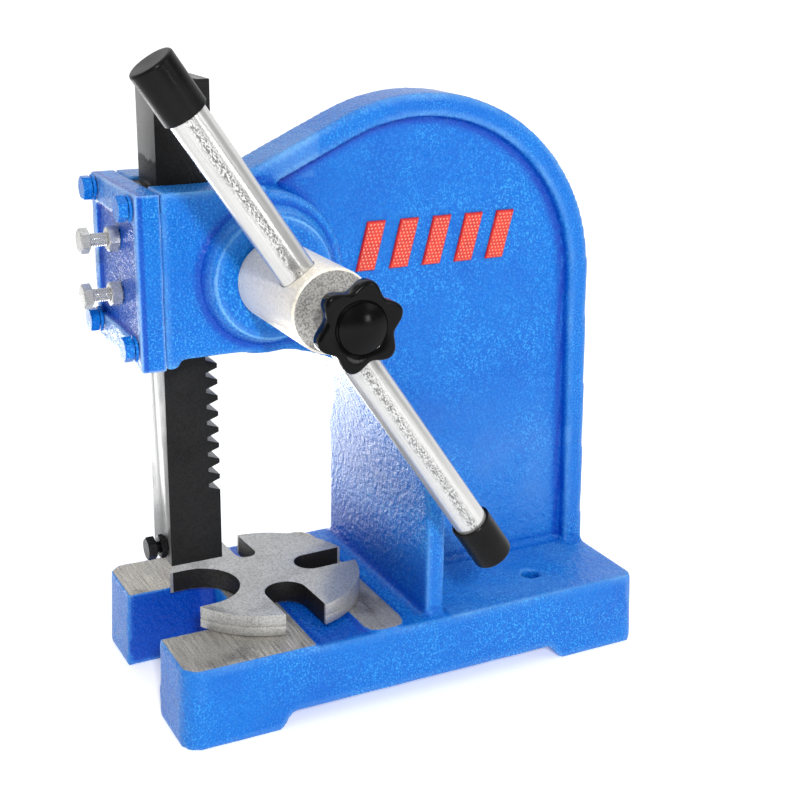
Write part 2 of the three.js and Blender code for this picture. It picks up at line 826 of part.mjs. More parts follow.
// Clamp knob: lobes between knobValley and knobTip, r = mean + half the difference * cos(lobes * angle)
function knobOutline(inset) {
  const mean = (knobTip + knobValley) / 2 - inset;
  const wave = (knobTip - knobValley) / 2;
  const steps = knobLobes * 8;
  return new THREE.Shape(
    Array.from({ length: steps }, (_, i) => {
      const angle = (i * 2 * Math.PI) / steps;
      const radius = mean + wave * Math.cos(knobLobes * (angle - radians(knobPhase)));
      return new THREE.Vector2(radius * Math.cos(angle), radius * Math.sin(angle));
    }),
  );
}

function knobParts() {
  const barFace = barX + barDiameter / 2 + gap;
  const collarStart = barFace + studLength;
  const lobeStart = collarStart + collarHeight;
  const lobeEnd = lobeStart + lobeThickness;
  const lobes = join(
    alongX(knobOutline(lobeBevel), lobeStart, lobeEnd),
    alongX(knobOutline(0), lobeStart + lobeBevel, lobeEnd - lobeBevel),
  );
  const collar = turnedX(
    [
      [0, collarStart],
      [collarDiameter / 2 - lobeBevel, collarStart],
      [collarDiameter / 2, collarStart + lobeBevel],
      [collarDiameter / 2, lobeStart + over],
      [0, lobeStart + over],
    ],
    24,
  );
  const dome = turnedX(
    [
      [0, lobeEnd - over],
      [domeDiameter / 2, lobeEnd - over],
      [domeDiameter / 2, lobeEnd + domeRise / 6],
      [domeDiameter / 2 - lobeBevel, lobeEnd + domeRise / 2],
      [domeDiameter / 3, lobeEnd + (5 / 6) * domeRise],
      [0, lobeEnd + domeRise],
    ],
    24,
  );
  const socketEnd = collarStart + studInKnob;
  const socket = turnedX(rod(studDiameter / 2 + gap, collarStart - over, socketEnd), 16);
  const studProfile = chamferedRod(studDiameter / 2, barFace, socketEnd - gap, threadChamfer);
  const stud = turnedX(studProfile, 16);
  return [
    named("clamp_knob", cut(join(lobes, collar, dome), socket), blackPlastic),
    named("clamp_stud", stud, darkSteel),
  ];
}

// Table plate: a stepped disc with four slots, turned on a pin in the base
function plateSolid() {
  const radius = plateDiameter / 2;
  const disc = turnedZ(
    [
      [0, 0],
      [radius, 0],
      [radius, plateThickness / 2],
      [radius - plateStep, plateThickness / 2 + plateChamfer],
      [radius - plateStep, plateThickness - plateChamfer],
      [radius - plateStep - plateChamfer, plateThickness],
      [0, plateThickness],
    ],
    64,
  );
  const slots = plateSlots.map(({ width, end, angle }) => {
    const half = width / 2;
    const outline = new THREE.Shape().moveTo(radius + over, half).lineTo(end + half, half);
    outline.absarc(end + half, 0, half, Math.PI / 2, Math.PI * 1.5);
    outline.lineTo(radius + over, -half).closePath();
    const slot = alongZ(outline, -over, plateThickness + over, 10);
    return slot.rotate([0, 0, angle + plateTurn]);
  });
  return cut(disc, ...slots, turnedZ(rod(pivotDiameter / 2 + gap, -over, pivotInPlate)));
}

function plateParts() {
  const plate = named("table_plate", plateSolid(), castIron);
  plate.position.set(0, plateCentre, plateBottom);
  const pin = turnedZ(
    chamferedRod(pivotDiameter / 2, -pivotInBase, pivotInPlate - gap, threadChamfer),
  );
  const pivot = named("table_pivot_pin", pin, satinSteel);
  pivot.position.set(0, plateCentre, plateBottom);
  return [plate, pivot];
}

const turning = new THREE.Group().add(...shaftParts(), handleParts(), ...knobParts());
turning.position.set(0, shaftY, shaftZ);

const press = new THREE.Group().add(
  frameCasting(),
  ...markStripes(),
  ...coverParts(),
  ...gibParts(),
  ...ramParts(),
  ...plateParts(),
  turning,
);
press.position.y = rearFoot / 2 - baseLength;

export default new THREE.Group().add(press);
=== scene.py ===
# Bench arbor press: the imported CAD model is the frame, and the surfaces made here stand for its pieces.
# Metres, +Z up, +X to the operator's right, +Y to the back of the press.
import json
import math
from contextlib import contextmanager

import bmesh
import bpy
import numpy as np
from mathutils import Matrix, Vector


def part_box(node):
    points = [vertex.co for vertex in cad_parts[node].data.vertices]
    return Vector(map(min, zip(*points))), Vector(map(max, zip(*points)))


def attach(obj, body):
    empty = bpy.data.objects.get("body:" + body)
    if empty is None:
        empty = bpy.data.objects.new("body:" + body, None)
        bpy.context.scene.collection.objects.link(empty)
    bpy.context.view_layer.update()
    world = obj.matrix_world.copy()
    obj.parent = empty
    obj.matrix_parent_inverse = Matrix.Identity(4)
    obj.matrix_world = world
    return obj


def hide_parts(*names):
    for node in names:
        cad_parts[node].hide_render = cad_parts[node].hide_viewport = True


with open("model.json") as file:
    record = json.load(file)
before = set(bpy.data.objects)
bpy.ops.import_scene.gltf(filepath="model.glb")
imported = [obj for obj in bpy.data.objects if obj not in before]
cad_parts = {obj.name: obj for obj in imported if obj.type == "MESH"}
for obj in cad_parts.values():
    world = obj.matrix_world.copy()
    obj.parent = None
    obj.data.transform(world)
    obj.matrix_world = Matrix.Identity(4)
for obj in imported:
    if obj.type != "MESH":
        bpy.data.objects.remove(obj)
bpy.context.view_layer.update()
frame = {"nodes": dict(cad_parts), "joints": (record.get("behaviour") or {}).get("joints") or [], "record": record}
bodyOf = {n: body for body, nodes in frame["record"]["behaviour"]["bodies"].items() for n in nodes}
jointOf = {joint["name"]: joint for joint in frame["joints"]}
mm = 0.001
print("frame loaded:", len(frame["nodes"]), "nodes")


def linked(name, data):
    made = bpy.data.objects.new(name, data)
    bpy.context.scene.collection.objects.link(made)
    return made


view = {
    "place": (0.58836, -0.39699, 0.35878),
    "azimuth": 62.23,  # degrees, 0 looks along +Y
    "elevation": 18.83,
    "roll": 1.015,
    "lens": 61.95,
    "sensor": 36,
}


def makeCamera():
    azimuth, elevation, roll = (math.radians(view[k]) for k in ("azimuth", "elevation", "roll"))
    across = math.cos(elevation)
    back = np.array([math.sin(azimuth) * across, -math.cos(azimuth) * across, math.sin(elevation)])
    level = np.array([math.cos(azimuth), math.sin(azimuth), 0])
    upright = np.cross(back, level)
    right = math.cos(roll) * level + math.sin(roll) * upright
    up = math.cos(roll) * upright - math.sin(roll) * level
    data = bpy.data.cameras.new("camera")
    data.lens, data.sensor_width = view["lens"], view["sensor"]
    data.clip_start, data.clip_end = 0.01, 50
    camera = linked("camera", data)
    columns = np.stack([right, up, back, view["place"]], 1)
    camera.matrix_world = Matrix([*columns.tolist(), (0, 0, 0, 1)])
    bpy.context.scene.camera = camera


studio = {
    "wall": 1.05,  # strength of the pale wall behind the press
    "room": 0.2,  # and of the rest of the room
    "wallDirection": (-0.86, 0.46, -0.2),
    "lamps": {
        # place, size in metres, watts
        "keyLamp": ((1.33, -0.55, 0.9), 0.12, 14),
        "frontLamp": ((-0.3, -1.4, 0.7), 0.8, 0.6),
        "sideLamp": ((1.1, 0.85, 0.9), 0.6, 2.5),
        "glintLamp": ((1.25, 0.5, 0.3), 0.2, 1.5),
    },
    "floorGlow": ((-0.45, -0.17, 0.004), 0.5, 4.0),  # a bright patch of floor that front faces mirror
    "ceiling": (1.4, 95),  # watts a square metre, and the angle it spreads over in degrees
    "lightTable": 0.33,  # the floor's own glow
    "target": (0, -0.13, 0.14),
    "floor": 0.93,
}


def roomWorld():
    # bright towards the wall, dimmer all round
    world = bpy.data.worlds.new("room")
    world.use_nodes = True
    tree = world.node_tree
    towards = tree.nodes.new("ShaderNodeVectorMath")
    towards.operation = "DOT_PRODUCT"
    towards.inputs[1].default_value = studio["wallDirection"]
    strength = tree.nodes.new("ShaderNodeMapRange")
    strength.interpolation_type = "SMOOTHSTEP"
    ends = {"From Min": 0.2, "From Max": 0.6, "To Min": studio["room"], "To Max": studio["wall"]}
    for socket, value in ends.items():
        strength.inputs[socket].default_value = value
    coords = tree.nodes.new("ShaderNodeTexCoord")
    tree.links.new(coords.outputs["Generated"], towards.inputs[0])
    tree.links.new(towards.outputs["Value"], strength.inputs["Value"])
    tree.nodes["Background"].inputs["Color"].default_value = (1, 1, 1, 1)
    tree.links.new(strength.outputs["Result"], tree.nodes["Background"].inputs["Strength"])
    return world


def addLamp(name, place, size, watts, turn):
    # a square lamp that lights the press and stays out of the camera's view
    data = bpy.data.lights.new(name, "AREA")
    data.size, data.energy = size, watts
    lamp = linked(name, data)
    lamp.visible_camera = False
    lamp.matrix_world = Matrix.Translation(place) @ turn


def makeStudio():
    for name, (place, size, watts) in studio["lamps"].items():
        towards = Vector(studio["target"]) - Vector(place)
        addLamp(name, place, size, watts, towards.to_track_quat("-Z", "Y").to_matrix().to_4x4())
    addLamp("floorGlow", *studio["floorGlow"], Matrix.Rotation(math.pi, 4, "X"))
    ceiling = bpy.data.lights.new("ceiling", "SUN")
    ceiling.energy, ceiling.angle = studio["ceiling"][0], math.radians(studio["ceiling"][1])
    linked("ceiling", ceiling)
    bpy.context.scene.world = roomWorld()
    bpy.context.scene.view_settings.view_transform = "Standard"
    mesh = bpy.data.meshes.new("floor")
    mesh.from_pydata([(-6, -6, 0), (6, -6, 0), (6, 6, 0), (-6, 6, 0)], [], [(0, 1, 2, 3)])
    floor = linked("floor", mesh)
    pale = bpy.data.materials.new("paleFloor")
    pale.use_nodes = True
    shader = pale.node_tree.nodes["Principled BSDF"]
    shader.inputs["Base Color"].default_value = (studio["floor"],) * 3 + (1,)
    shader.inputs["Roughness"].default_value = 0.7
    shader.inputs["Emission Color"].default_value = (1, 1, 1, 1)
    shader.inputs["Emission Strength"].default_value = studio["lightTable"]
    mesh.materials.append(pale)


makeCamera()
makeStudio()
print("camera and studio made")


@contextmanager
def opened(mesh):
    # the mesh as a bmesh that is written back at the end
    form = bmesh.new()
    form.from_mesh(mesh)
    yield form
    form.to_mesh(mesh)
    form.free()


def pieceFrom(name, verts, faces):
    # doubles are merged, so poles close, and normals are turned outwards
    mesh = bpy.data.meshes.new(name)
    mesh.from_pydata(np.asarray(verts).reshape(-1, 3).tolist(), [], [list(f) for f in faces])
    with opened(mesh) as form:
        bmesh.ops.remove_doubles(form, verts=form.verts, dist=1e-6)
        bmesh.ops.dissolve_degenerate(form, dist=1e-7, edges=form.edges)
        bmesh.ops.recalc_face_normals(form, faces=form.faces)
    return shadeByAngle(linked(name, mesh))


def shadeByAngle(piece, degrees=32):
    mesh = piece.data
    mesh.polygons.foreach_set("use_smooth", np.ones(len(mesh.polygons), bool))
    mesh.set_sharp_from_angle(angle=math.radians(degrees))
    return piece


def gridFaces(rows, columns, closed=True):
    # quads between neighbours of a grid whose rows run round the piece
    i, j = np.meshgrid(np.arange(rows if closed else rows - 1), np.arange(columns - 1), indexing="ij")
    k = (i + 1) % rows
    quads = [i * columns + j, k * columns + j, k * columns + j + 1, i * columns + j + 1]
    return np.stack(quads, -1).reshape(-1, 4)


def softened(corners, radius, steps=4):
    # every inner corner of a profile gives way to a quadratic curve that begins and ends radius from it
    corners = np.array(corners, float)
    before, corner, after = corners[:-2], corners[1:-1], corners[2:]

    def partWay(other):
        away = other - corner
        length = np.linalg.norm(away, axis=1, keepdims=True)
        return corner + away * np.minimum(radius / length, 0.5)

    start, end = partWay(before), partWay(after)
    t = np.linspace(0, 1, steps + 1)[None, :, None]
    curve = (1 - t) ** 2 * start[:, None] + 2 * t * (1 - t) * corner[:, None] + t**2 * end[:, None]
    return np.concatenate([corners[:1], curve.reshape(-1, corners.shape[1]), corners[-1:]])


def axisFrame(axis):
    # two directions square to the axis and then the axis, as columns
    axis = np.array(axis, float) / np.linalg.norm(axis)
    side = np.array((0.0, 0, 1)) if abs(axis[2]) < 0.9 else np.array((0.0, 1, 0))
    side -= axis * (side @ axis)
    side /= np.linalg.norm(side)
    return np.stack([side, np.cross(axis, side), axis], 1)


def around(origin, axis, angle, radius, along):
    # a point at that angle and radius round the axis, that far along it
    angle, radius, along = np.broadcast_arrays(angle, radius, along)
    local = np.stack([radius * np.cos(angle), radius * np.sin(angle), along], -1)
    return np.array(origin, float) + local @ axisFrame(axis).T


def fullTurn(segments):
    # angles round a circle, as a column
    return np.linspace(0, 2 * math.pi, segments, endpoint=False)[:, None]


def roundPiece(name, origin, axis, radius, along, segments):
    # radius and along are functions of angle (rows) and step (columns)
    angle = fullTurn(segments)
    points = around(origin, axis, angle, radius, along)
    return pieceFrom(name, points, gridFaces(*points.shape[:2]))


def turnedPiece(name, origin, axis, profile, segments=96):
    # a profile of (radius, distance along) in millimetres, carried round the axis
    profile = np.array(profile) * mm
    return roundPiece(name, origin, axis, profile[None, :, 0], profile[None, :, 1], segments)


def mergedCopy(node, name):
    # the CAD node's loose triangles joined at their corners
    mesh = frame["nodes"][node].data.copy()
    mesh.name = name
    mesh.materials.clear()
    with opened(mesh) as form:
        bmesh.ops.remove_doubles(form, verts=form.verts, dist=1e-6)
    return linked(name, mesh)


def applied(piece):
    # the mesh with its modifiers worked in
    graph = bpy.context.evaluated_depsgraph_get()
    mesh = bpy.data.meshes.new_from_object(piece.evaluated_get(graph), depsgraph=graph)
    piece.modifiers.clear()
    piece.data = mesh
    mesh.name = piece.name
    return piece


def drilled(piece, *cutters):
    # each cutter's solid taken out of the piece
    for cutter in cutters:
        boolean = piece.modifiers.new("hole", "BOOLEAN")
        boolean.operation, boolean.solver, boolean.object = "DIFFERENCE", "EXACT", cutter
        applied(piece)
        bpy.data.objects.remove(cutter)
    return shadeByAngle(piece)


def bevelled(piece, width):
    # flat faces made whole, and then every sharp edge given a bevel of that many millimetres
    with opened(piece.data) as form:
        bmesh.ops.dissolve_limit(form, angle_limit=math.radians(1), verts=form.verts, edges=form.edges)
    bevel = piece.modifiers.new("edges", "BEVEL")
    bevel.width, bevel.segments, bevel.limit_method = width * mm, 2, "ANGLE"
    bevel.angle_limit = math.radians(30)
    return shadeByAngle(applied(piece), 40)


def columnMeans(first, second, values, count):
    # the mean over each vertex's neighbours along the edges
    ends = ((first, second), (second, first))
    total = [sum(np.bincount(a, values[b, c], count) for a, b in ends) for c in range(3)]
    number = sum(np.bincount(a, minlength=count) for a, b in ends)
    return np.stack(total, 1) / np.maximum(number, 1)[:, None]


def rowsOf(collection, label):
    # one row of three numbers for each place or normal
    rows = np.zeros(len(collection) * 3)
    collection.foreach_get(label, rows)
    return rows.reshape(-1, 3)


def setMask(mesh, label, values):
    # a number from 0 to 1 at each vertex, which materials read by its name
    mask = mesh.attributes.new(label, "FLOAT", "POINT")
    mask.data.foreach_set("value", np.clip(values, 0, 1).astype(np.float32))


def castPiece(name, node, look, tint, firm=None, shape=None):
    # The CAD solid on an even grid of quads. Each round moves a vertex towards the mean of its neighbours:
    # all of them for the first rounds, which soften the edges, and afterwards only where the mean lies
    # outside the surface, which fills inner corners with fillets. Edges and hollows keep their shift
    # as masks, which set a painted highlight on edges and painted shade in hollows. firm says which vertices
    # hold still, shape moves them beforehand, and tint adds painted light and shade to the masks.
    piece = mergedCopy(node, name)
    remesh = piece.modifiers.new("grid", "REMESH")
    remesh.mode, remesh.voxel_size = "VOXEL", look["grid"] * mm
    mesh = applied(piece).data
    count = len(mesh.vertices)
    places = rowsOf(mesh.vertices, "co")
    edges = np.zeros(len(mesh.edges) * 2, int)
    mesh.edges.foreach_get("vertices", edges)
    first, second = edges.reshape(-1, 2).T
    normals = rowsOf(mesh.vertex_normals, "vector")
    still = firm(places) if firm else np.zeros(count, bool)
    if shape:
        places = shape(places)
    start = places.copy()
    for turn in range(look["softenRounds"] + look["filletRounds"]):
        shift = (columnMeans(first, second, places, count) - places) * 0.6
        if turn >= look["softenRounds"]:
            outward = (shift * normals).sum(1) > 0.004 * mm
            shift *= (outward & ~still)[:, None]
        places = places + shift
        if turn % 5 == 4:
            mesh.vertices.foreach_set("co", places.ravel())
            mesh.update()
            normals = rowsOf(mesh.vertex_normals, "vector")
    rise = ((places - start) * normals).sum(1) / mm
    x, y, z = places.T / mm
    waves = np.sin(0.21 * x + 0.13 * z) * np.sin(0.17 * y - 0.05 * x) + np.sin(0.31 * z + 0.27 * y) * 0.6
    places = places + normals * (waves * look["waves"] * mm * ~still)[:, None]
    places = np.clip(places, *(np.array(corner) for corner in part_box(node)))
    mesh.vertices.foreach_set("co", places.ravel())
    # the tint's first part is painted light, which joins the edge mask, and its second (thick) is painted shade,
    # which joins the hollow mask
    paintedLight, thick = tint(places)
    setMask(mesh, "edge", -rise / look["maskAt"] + paintedLight)
    setMask(mesh, "hollow", rise / look["maskAt"] + thick)
    mesh.update()
    mesh.polygons.foreach_set("use_smooth", np.ones(len(mesh.polygons), bool))
    return piece


def addNode(tree, kind, values=None, links=None, **settings):
    node = tree.nodes.new(kind)
    for key, value in settings.items():
        setattr(node, key, value)
    for socket, value in (values or {}).items():
        node.inputs[socket].default_value = value
    for socket, source in (links or {}).items():
        tree.links.new(source, node.inputs[socket])
    return node


def newGroup(name, inputs):
    # inputs are labels with their first values: four numbers are a colour and three a vector
    tree = bpy.data.node_groups.new(name, "ShaderNodeTree")
    for label, value in inputs.items():
        kind = "Float" if isinstance(value, float) else {4: "Color", 3: "Vector"}[len(value)]
        socket = tree.interface.new_socket(label, in_out="INPUT", socket_type="NodeSocket" + kind)
        socket.default_value = value
    for label, kind in (("Color", "Color"), ("Roughness", "Float"), ("Height", "Float")):
        tree.interface.new_socket(label, in_out="OUTPUT", socket_type="NodeSocket" + kind)
    return tree, tree.nodes.new("NodeGroupInput").outputs, tree.nodes.new("NodeGroupOutput").inputs


def sums(tree, operation, first, second=None, clamp=False):
    # first and second are numbers or sockets
    node = addNode(tree, "ShaderNodeMath", operation=operation, use_clamp=clamp)
    for socket, source in enumerate((first, second)):
        if isinstance(source, (int, float)):
            node.inputs[socket].default_value = source
        elif source is not None:
            tree.links.new(source, node.inputs[socket])
    return node.outputs[0]


def ranged(tree, source, low, high, to=(0, 1)):
    # a smooth step from to[0] where the source is low to to[1] where it is high
    values = {"From Min": low, "From Max": high, "To Min": to[0], "To Max": to[1]}
    node = addNode(tree, "ShaderNodeMapRange", values, {"Value": source}, interpolation_type="SMOOTHSTEP")
    return node.outputs["Result"]


def mixed(tree, amount, first, second):
    node = addNode(tree, "ShaderNodeMix", data_type="RGBA")
    for socket, source in ((0, amount), (6, first), (7, second)):
        if isinstance(source, (tuple, float, int)):
            node.inputs[socket].default_value = source
        else:
            tree.links.new(source, node.inputs[socket])
    return node.outputs[2]


def noise(tree, coords, scale, detail=3.0, stretch=None):
    if stretch:
        coords = addNode(tree, "ShaderNodeMapping", {"Scale": stretch}, {"Vector": coords}).outputs[0]
    values = {"Detail": detail}
    links = {"Vector": coords}
    if isinstance(scale, (int, float)):
        values["Scale"] = scale
    else:
        links["Scale"] = scale
    return addNode(tree, "ShaderNodeTexNoise", values, links).outputs["Fac"]


def objectCoords(tree):
    return addNode(tree, "ShaderNodeTexCoord").outputs["Object"]


def maskOf(tree, label):
    return addNode(tree, "ShaderNodeAttribute", attribute_name=label).outputs["Fac"]


def castPaintGroup():
    # thick enamel over sand-cast iron: orange peel and small pits, with painted glints on the peaks of the fine
    # grain, painted shade in its dips, a painted highlight on edges and painted shade in hollows
    inputs = {
        "Color": (0, 0.1, 0.6, 1), "Thin Color": (0.1, 0.3, 0.9, 1), "Deep Color": (0, 0.04, 0.4, 1),
        "Edge Color": (0.3, 0.5, 0.9, 1), "Hollow Color": (0, 0.02, 0.3, 1),
        "Peel Scale": 330.0, "Peel Depth": 1.0, "Gloss": 0.2,
    }
    tree, given, out = newGroup("castPaint", inputs)
    coords = objectCoords(tree)
    peel = noise(tree, coords, given["Peel Scale"], 2.0)
    fine = noise(tree, coords, 1100, 2.0)
    patches = noise(tree, coords, 34, 3.0)
    pits = ranged(tree, noise(tree, coords, 240, 1.0), 0.66, 0.74)
    # painted highlight along the edges, stronger in some patches
    edgeHighlight = sums(tree, "MULTIPLY", maskOf(tree, "edge"), ranged(tree, patches, 0.3, 0.7, (0.25, 1)), True)
    color = mixed(tree, ranged(tree, patches, 0.35, 0.75, (0, 0.35)), given["Color"], given["Deep Color"])
    # painted glints: pale specks on the peaks of the fine grain, denser in some patches than others
    dense = ranged(tree, noise(tree, coords, 22, 2.0), 0.35, 0.65, (0.2, 0.85))
    glints = sums(tree, "MULTIPLY", ranged(tree, fine, 0.54, 0.66), dense)
    color = mixed(tree, glints, color, given["Thin Color"])
    # painted shade: the dips of the fine grain are darker
    color = mixed(tree, ranged(tree, fine, 0.46, 0.36, (0, 0.35)), color, given["Deep Color"])
    color = mixed(tree, sums(tree, "MULTIPLY", edgeHighlight, 0.7, True), color, given["Edge Color"])
    # painted shade in the hollows and wherever a tint adds it
    thick = sums(tree, "MULTIPLY", maskOf(tree, "hollow"), 0.85, True)
    color = mixed(tree, thick, color, given["Hollow Color"])
    tree.links.new(color, out["Color"])
    rough = sums(tree, "ADD", given["Gloss"], ranged(tree, fine, 0.3, 0.7, (0, 0.12)))
    tree.links.new(rough, out["Roughness"])
    height = sums(tree, "ADD", peel, sums(tree, "MULTIPLY", fine, 0.35))
    height = sums(tree, "SUBTRACT", height, sums(tree, "MULTIPLY", pits, 0.12))
    tree.links.new(sums(tree, "MULTIPLY", height, given["Peel Depth"]), out["Height"])
    return tree


def groundMetalGroup():
    # ground or milled metal: fine streaks along one direction, speckled grain and a few stains
    inputs = {
        "Color": (0.5, 0.5, 0.5, 1), "Dark Color": (0.2, 0.19, 0.17, 1),
        "Streak Stretch": (40.0, 2200.0, 2200.0), "Grain Scale": 1800.0, "Grain": 0.4,
        "Streaks": 0.5, "Stains": 0.4, "Smoothness": 0.3,
    }
    tree, given, out = newGroup("groundMetal", inputs)
    coords = objectCoords(tree)
    links = {0: coords, 1: given["Streak Stretch"]}
    stretched = addNode(tree, "ShaderNodeVectorMath", links=links, operation="MULTIPLY")
    streaks = noise(tree, stretched.outputs[0], 1.0, 2.0)
    grain = noise(tree, coords, given["Grain Scale"], 2.0)
    stains = ranged(tree, noise(tree, coords, 45, 4.0), 0.5, 0.75)
    dark = sums(tree, "MULTIPLY", ranged(tree, grain, 0.42, 0.62), given["Grain"])
    lines = sums(tree, "MULTIPLY", ranged(tree, streaks, 0.45, 0.7), given["Streaks"])
    stained = sums(tree, "MULTIPLY", stains, given["Stains"])
    amount = sums(tree, "ADD", dark, sums(tree, "ADD", lines, stained), True)
    tree.links.new(mixed(tree, amount, given["Color"], given["Dark Color"]), out["Color"])
    rough = sums(tree, "ADD", given["Smoothness"], sums(tree, "MULTIPLY", amount, 0.25))
    tree.links.new(rough, out["Roughness"])
    height = sums(tree, "ADD", sums(tree, "MULTIPLY", grain, given["Grain"]), lines)
    tree.links.new(height, out["Height"])
    return tree


castPaint = castPaintGroup()
groundMetal = groundMetalGroup()


def placed(tree, group, **values):
    # the group with its own values, named with _ for each space
    node = addNode(tree, "ShaderNodeGroup", node_tree=group)
    for label, value in values.items():
        node.inputs[label.replace("_", " ")].default_value = value
    return node.outputs


def newMaterial(name, **fixed):
    material = bpy.data.materials.new(name)
    material.use_nodes = True
    shader = material.node_tree.nodes["Principled BSDF"]
    for label, value in fixed.items():
        shader.inputs[label.replace("_", " ")].default_value = value
    return material, material.node_tree, shader


def finishWith(tree, shader, color, roughness, height, depth, metallic=None):
    # depth is the bump's, in millimetres
    tree.links.new(color, shader.inputs["Base Color"])
    tree.links.new(roughness, shader.inputs["Roughness"])
    bump = addNode(tree, "ShaderNodeBump", {"Strength": 1.0, "Distance": depth * mm}, {"Height": height})
    tree.links.new(bump.outputs["Normal"], shader.inputs["Normal"])
    if metallic is not None:
        tree.links.new(metallic, shader.inputs["Metallic"])


# the enamel's colours; the second, fourth and fifth are painted glints, painted edge highlights and painted shade
# in hollows
blue = {
    "Color": (0.002, 0.155, 0.59, 1),
    "Thin_Color": (0.04, 0.38, 0.82, 1),
    "Deep_Color": (0.001, 0.075, 0.47, 1),
    "Edge_Color": (0.24, 0.55, 0.88, 1),
    "Hollow_Color": (0.001, 0.035, 0.4, 1),
}
iron = {
    "Color": (0.56, 0.53, 0.48, 1), "Dark_Color": (0.1, 0.09, 0.08, 1), "Grain_Scale": 900.0,
    "Grain": 0.28, "Streaks": 0.3, "Stains": 0.55, "Smoothness": 0.34,
}


def groundPads():
    # their height, a gap of 0.3 mm below the table plate
    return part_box("table_plate")[0].z - 0.3 * mm


def facing(tree, axis):
    # the normal's part along x, y or z
    normal = addNode(tree, "ShaderNodeNewGeometry").outputs["Normal"]
    return addNode(tree, "ShaderNodeSeparateXYZ", links={"Vector": normal}).outputs[axis]


def place(tree, axis):
    return addNode(tree, "ShaderNodeSeparateXYZ", links={"Vector": objectCoords(tree)}).outputs[axis]


def betweenBoth(tree, amount, first, second):
    # color, roughness and height of two placed groups, mixed by that amount
    found = [mixed(tree, amount, first["Color"], second["Color"])]
    for label in ("Roughness", "Height"):
        links = {0: amount, 2: first[label], 3: second[label]}
        found.append(addNode(tree, "ShaderNodeMix", links=links, data_type="FLOAT").outputs[0])
    return found


def bluePaint(name, depth=0.9, **values):
    material, tree, shader = newMaterial(name, Specular_IOR_Level=0.23)
    paint = placed(tree, castPaint, **{**blue, **values})
    finishWith(tree, shader, paint["Color"], paint["Roughness"], paint["Height"], depth)
    return material


def framePaint():
    # enamel everywhere but on the ground pads, whose edge is a little ragged
    material, tree, shader = newMaterial("frameEnamel", Specular_IOR_Level=0.23)
    paint = placed(tree, castPaint, **blue)
    bare = placed(tree, groundMetal, **iron)
    padHeight = groundPads()
    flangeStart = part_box("table_plate")[1].y + 12 * mm
    ragged = noise(tree, objectCoords(tree), 420, 3.0)
    up = sums(tree, "ADD", facing(tree, 2), sums(tree, "MULTIPLY", ragged, 0.12))
    level = ranged(tree, place(tree, 2), padHeight - 0.55 * mm, padHeight - 0.45 * mm)
    above = sums(tree, "LESS_THAN", place(tree, 2), padHeight + 1.5 * mm)
    ahead = sums(tree, "LESS_THAN", place(tree, 1), flangeStart)
    mask = sums(tree, "MULTIPLY", ranged(tree, up, 0.95, 0.99), level)
    for part in (above, ahead):
        mask = sums(tree, "MULTIPLY", mask, part)
    finishWith(tree, shader, *betweenBoth(tree, mask, paint, bare), 0.9, sums(tree, "MULTIPLY", mask, 0.5))
    return material


def metal(name, depth=0.05, metallic=1.0, **values):
    material, tree, shader = newMaterial(name, Metallic=metallic)
    ground = placed(tree, groundMetal, **values)
    finishWith(tree, shader, ground["Color"], ground["Roughness"], ground["Height"], depth)
    return material


def twoMetals(name, base, other, mask, depth=0.05, metallic=1.0, shine=0.5):
    # mask is a function of the tree that is 1 where the second finish shows
    material, tree, shader = newMaterial(name, Metallic=metallic, Specular_IOR_Level=shine)
    first, second = placed(tree, groundMetal, **base), placed(tree, groundMetal, **other)
    finishWith(tree, shader, *betweenBoth(tree, mask(tree), first, second), depth)
    return material


def plastic(name, color, roughness, grain, depth):
    material, tree, shader = newMaterial(name, Specular_IOR_Level=0.1)
    coords = objectCoords(tree)
    fine = noise(tree, coords, grain, 2.0)
    smudges = noise(tree, coords, 60, 3.0)
    tint = mixed(tree, ranged(tree, smudges, 0.3, 0.7), color, tuple(1.4 * c for c in color[:3]) + (1,))
    rough = ranged(tree, smudges, 0.3, 0.7, (roughness, roughness + 0.12))
    finishWith(tree, shader, tint, rough, fine, depth)
    return material


def redPaint():
    material, tree, shader = newMaterial("redMarks", Coat_Weight=0.2, Coat_Roughness=0.2)
    coords = objectCoords(tree)
    raised = maskOf(tree, "dots")
    patches = noise(tree, coords, 300, 3.0)
    color = mixed(tree, ranged(tree, patches, 0.3, 0.7), (0.55, 0.008, 0.003, 1), (0.7, 0.02, 0.005, 1))
    # painted highlight: the tops of the domes are painted pale
    color = mixed(tree, ranged(tree, raised, 0.5, 0.95, (0, 0.85)), color, (0.95, 0.42, 0.25, 1))
    rough = ranged(tree, patches, 0.3, 0.7, (0.35, 0.5))
    finishWith(tree, shader, color, rough, noise(tree, coords, 1600, 2.0), 0.08)
    return material


def standFor(piece, node, material):
    # the piece takes the CAD node's place and rides on its body
    piece.data.materials.clear()
    piece.data.materials.append(material)
    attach(piece, bodyOf[node])
    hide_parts(node)
    return piece


def centreOf(node):
    low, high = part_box(node)
    return np.array((low + high) / 2)


def boxOf(node):
    # in millimetres
    return [np.array(corner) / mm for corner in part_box(node)]


castings = {
    # millimetres; maskAt is the shift that counts as a full edge or hollow
    "frame": {"grid": 1.66, "softenRounds": 1, "filletRounds": 3, "waves": 0.06, "maskAt": 0.3},
    "cover": {"grid": 0.7, "softenRounds": 3, "filletRounds": 9, "waves": 0.16, "maskAt": 0.2},
    "boss": {"bore": 19.5, "face": 27.4, "root": 32.2, "height": 8.3},
    # how much painted light (pale) and painted shade (dark) each place gets
    "pale": {"headTop": 0.3, "baseTop": 0.3, "web": 0.25, "coverBorder": 0.5},
    "dark": {"slot": 0.9, "behindPads": 0.6, "foot": 0.6, "coverPanel": 0.75},
}


def shapeFrame(points):
    # the head's front face brought up to the cover
    points = points.copy()
    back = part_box("front_cover")[1].y
    front = (points[:, 2] > 0.17) & (abs(points[:, 1] - back - 0.3 * mm) < 0.2 * mm)
    points[front, 1] = back
    return points


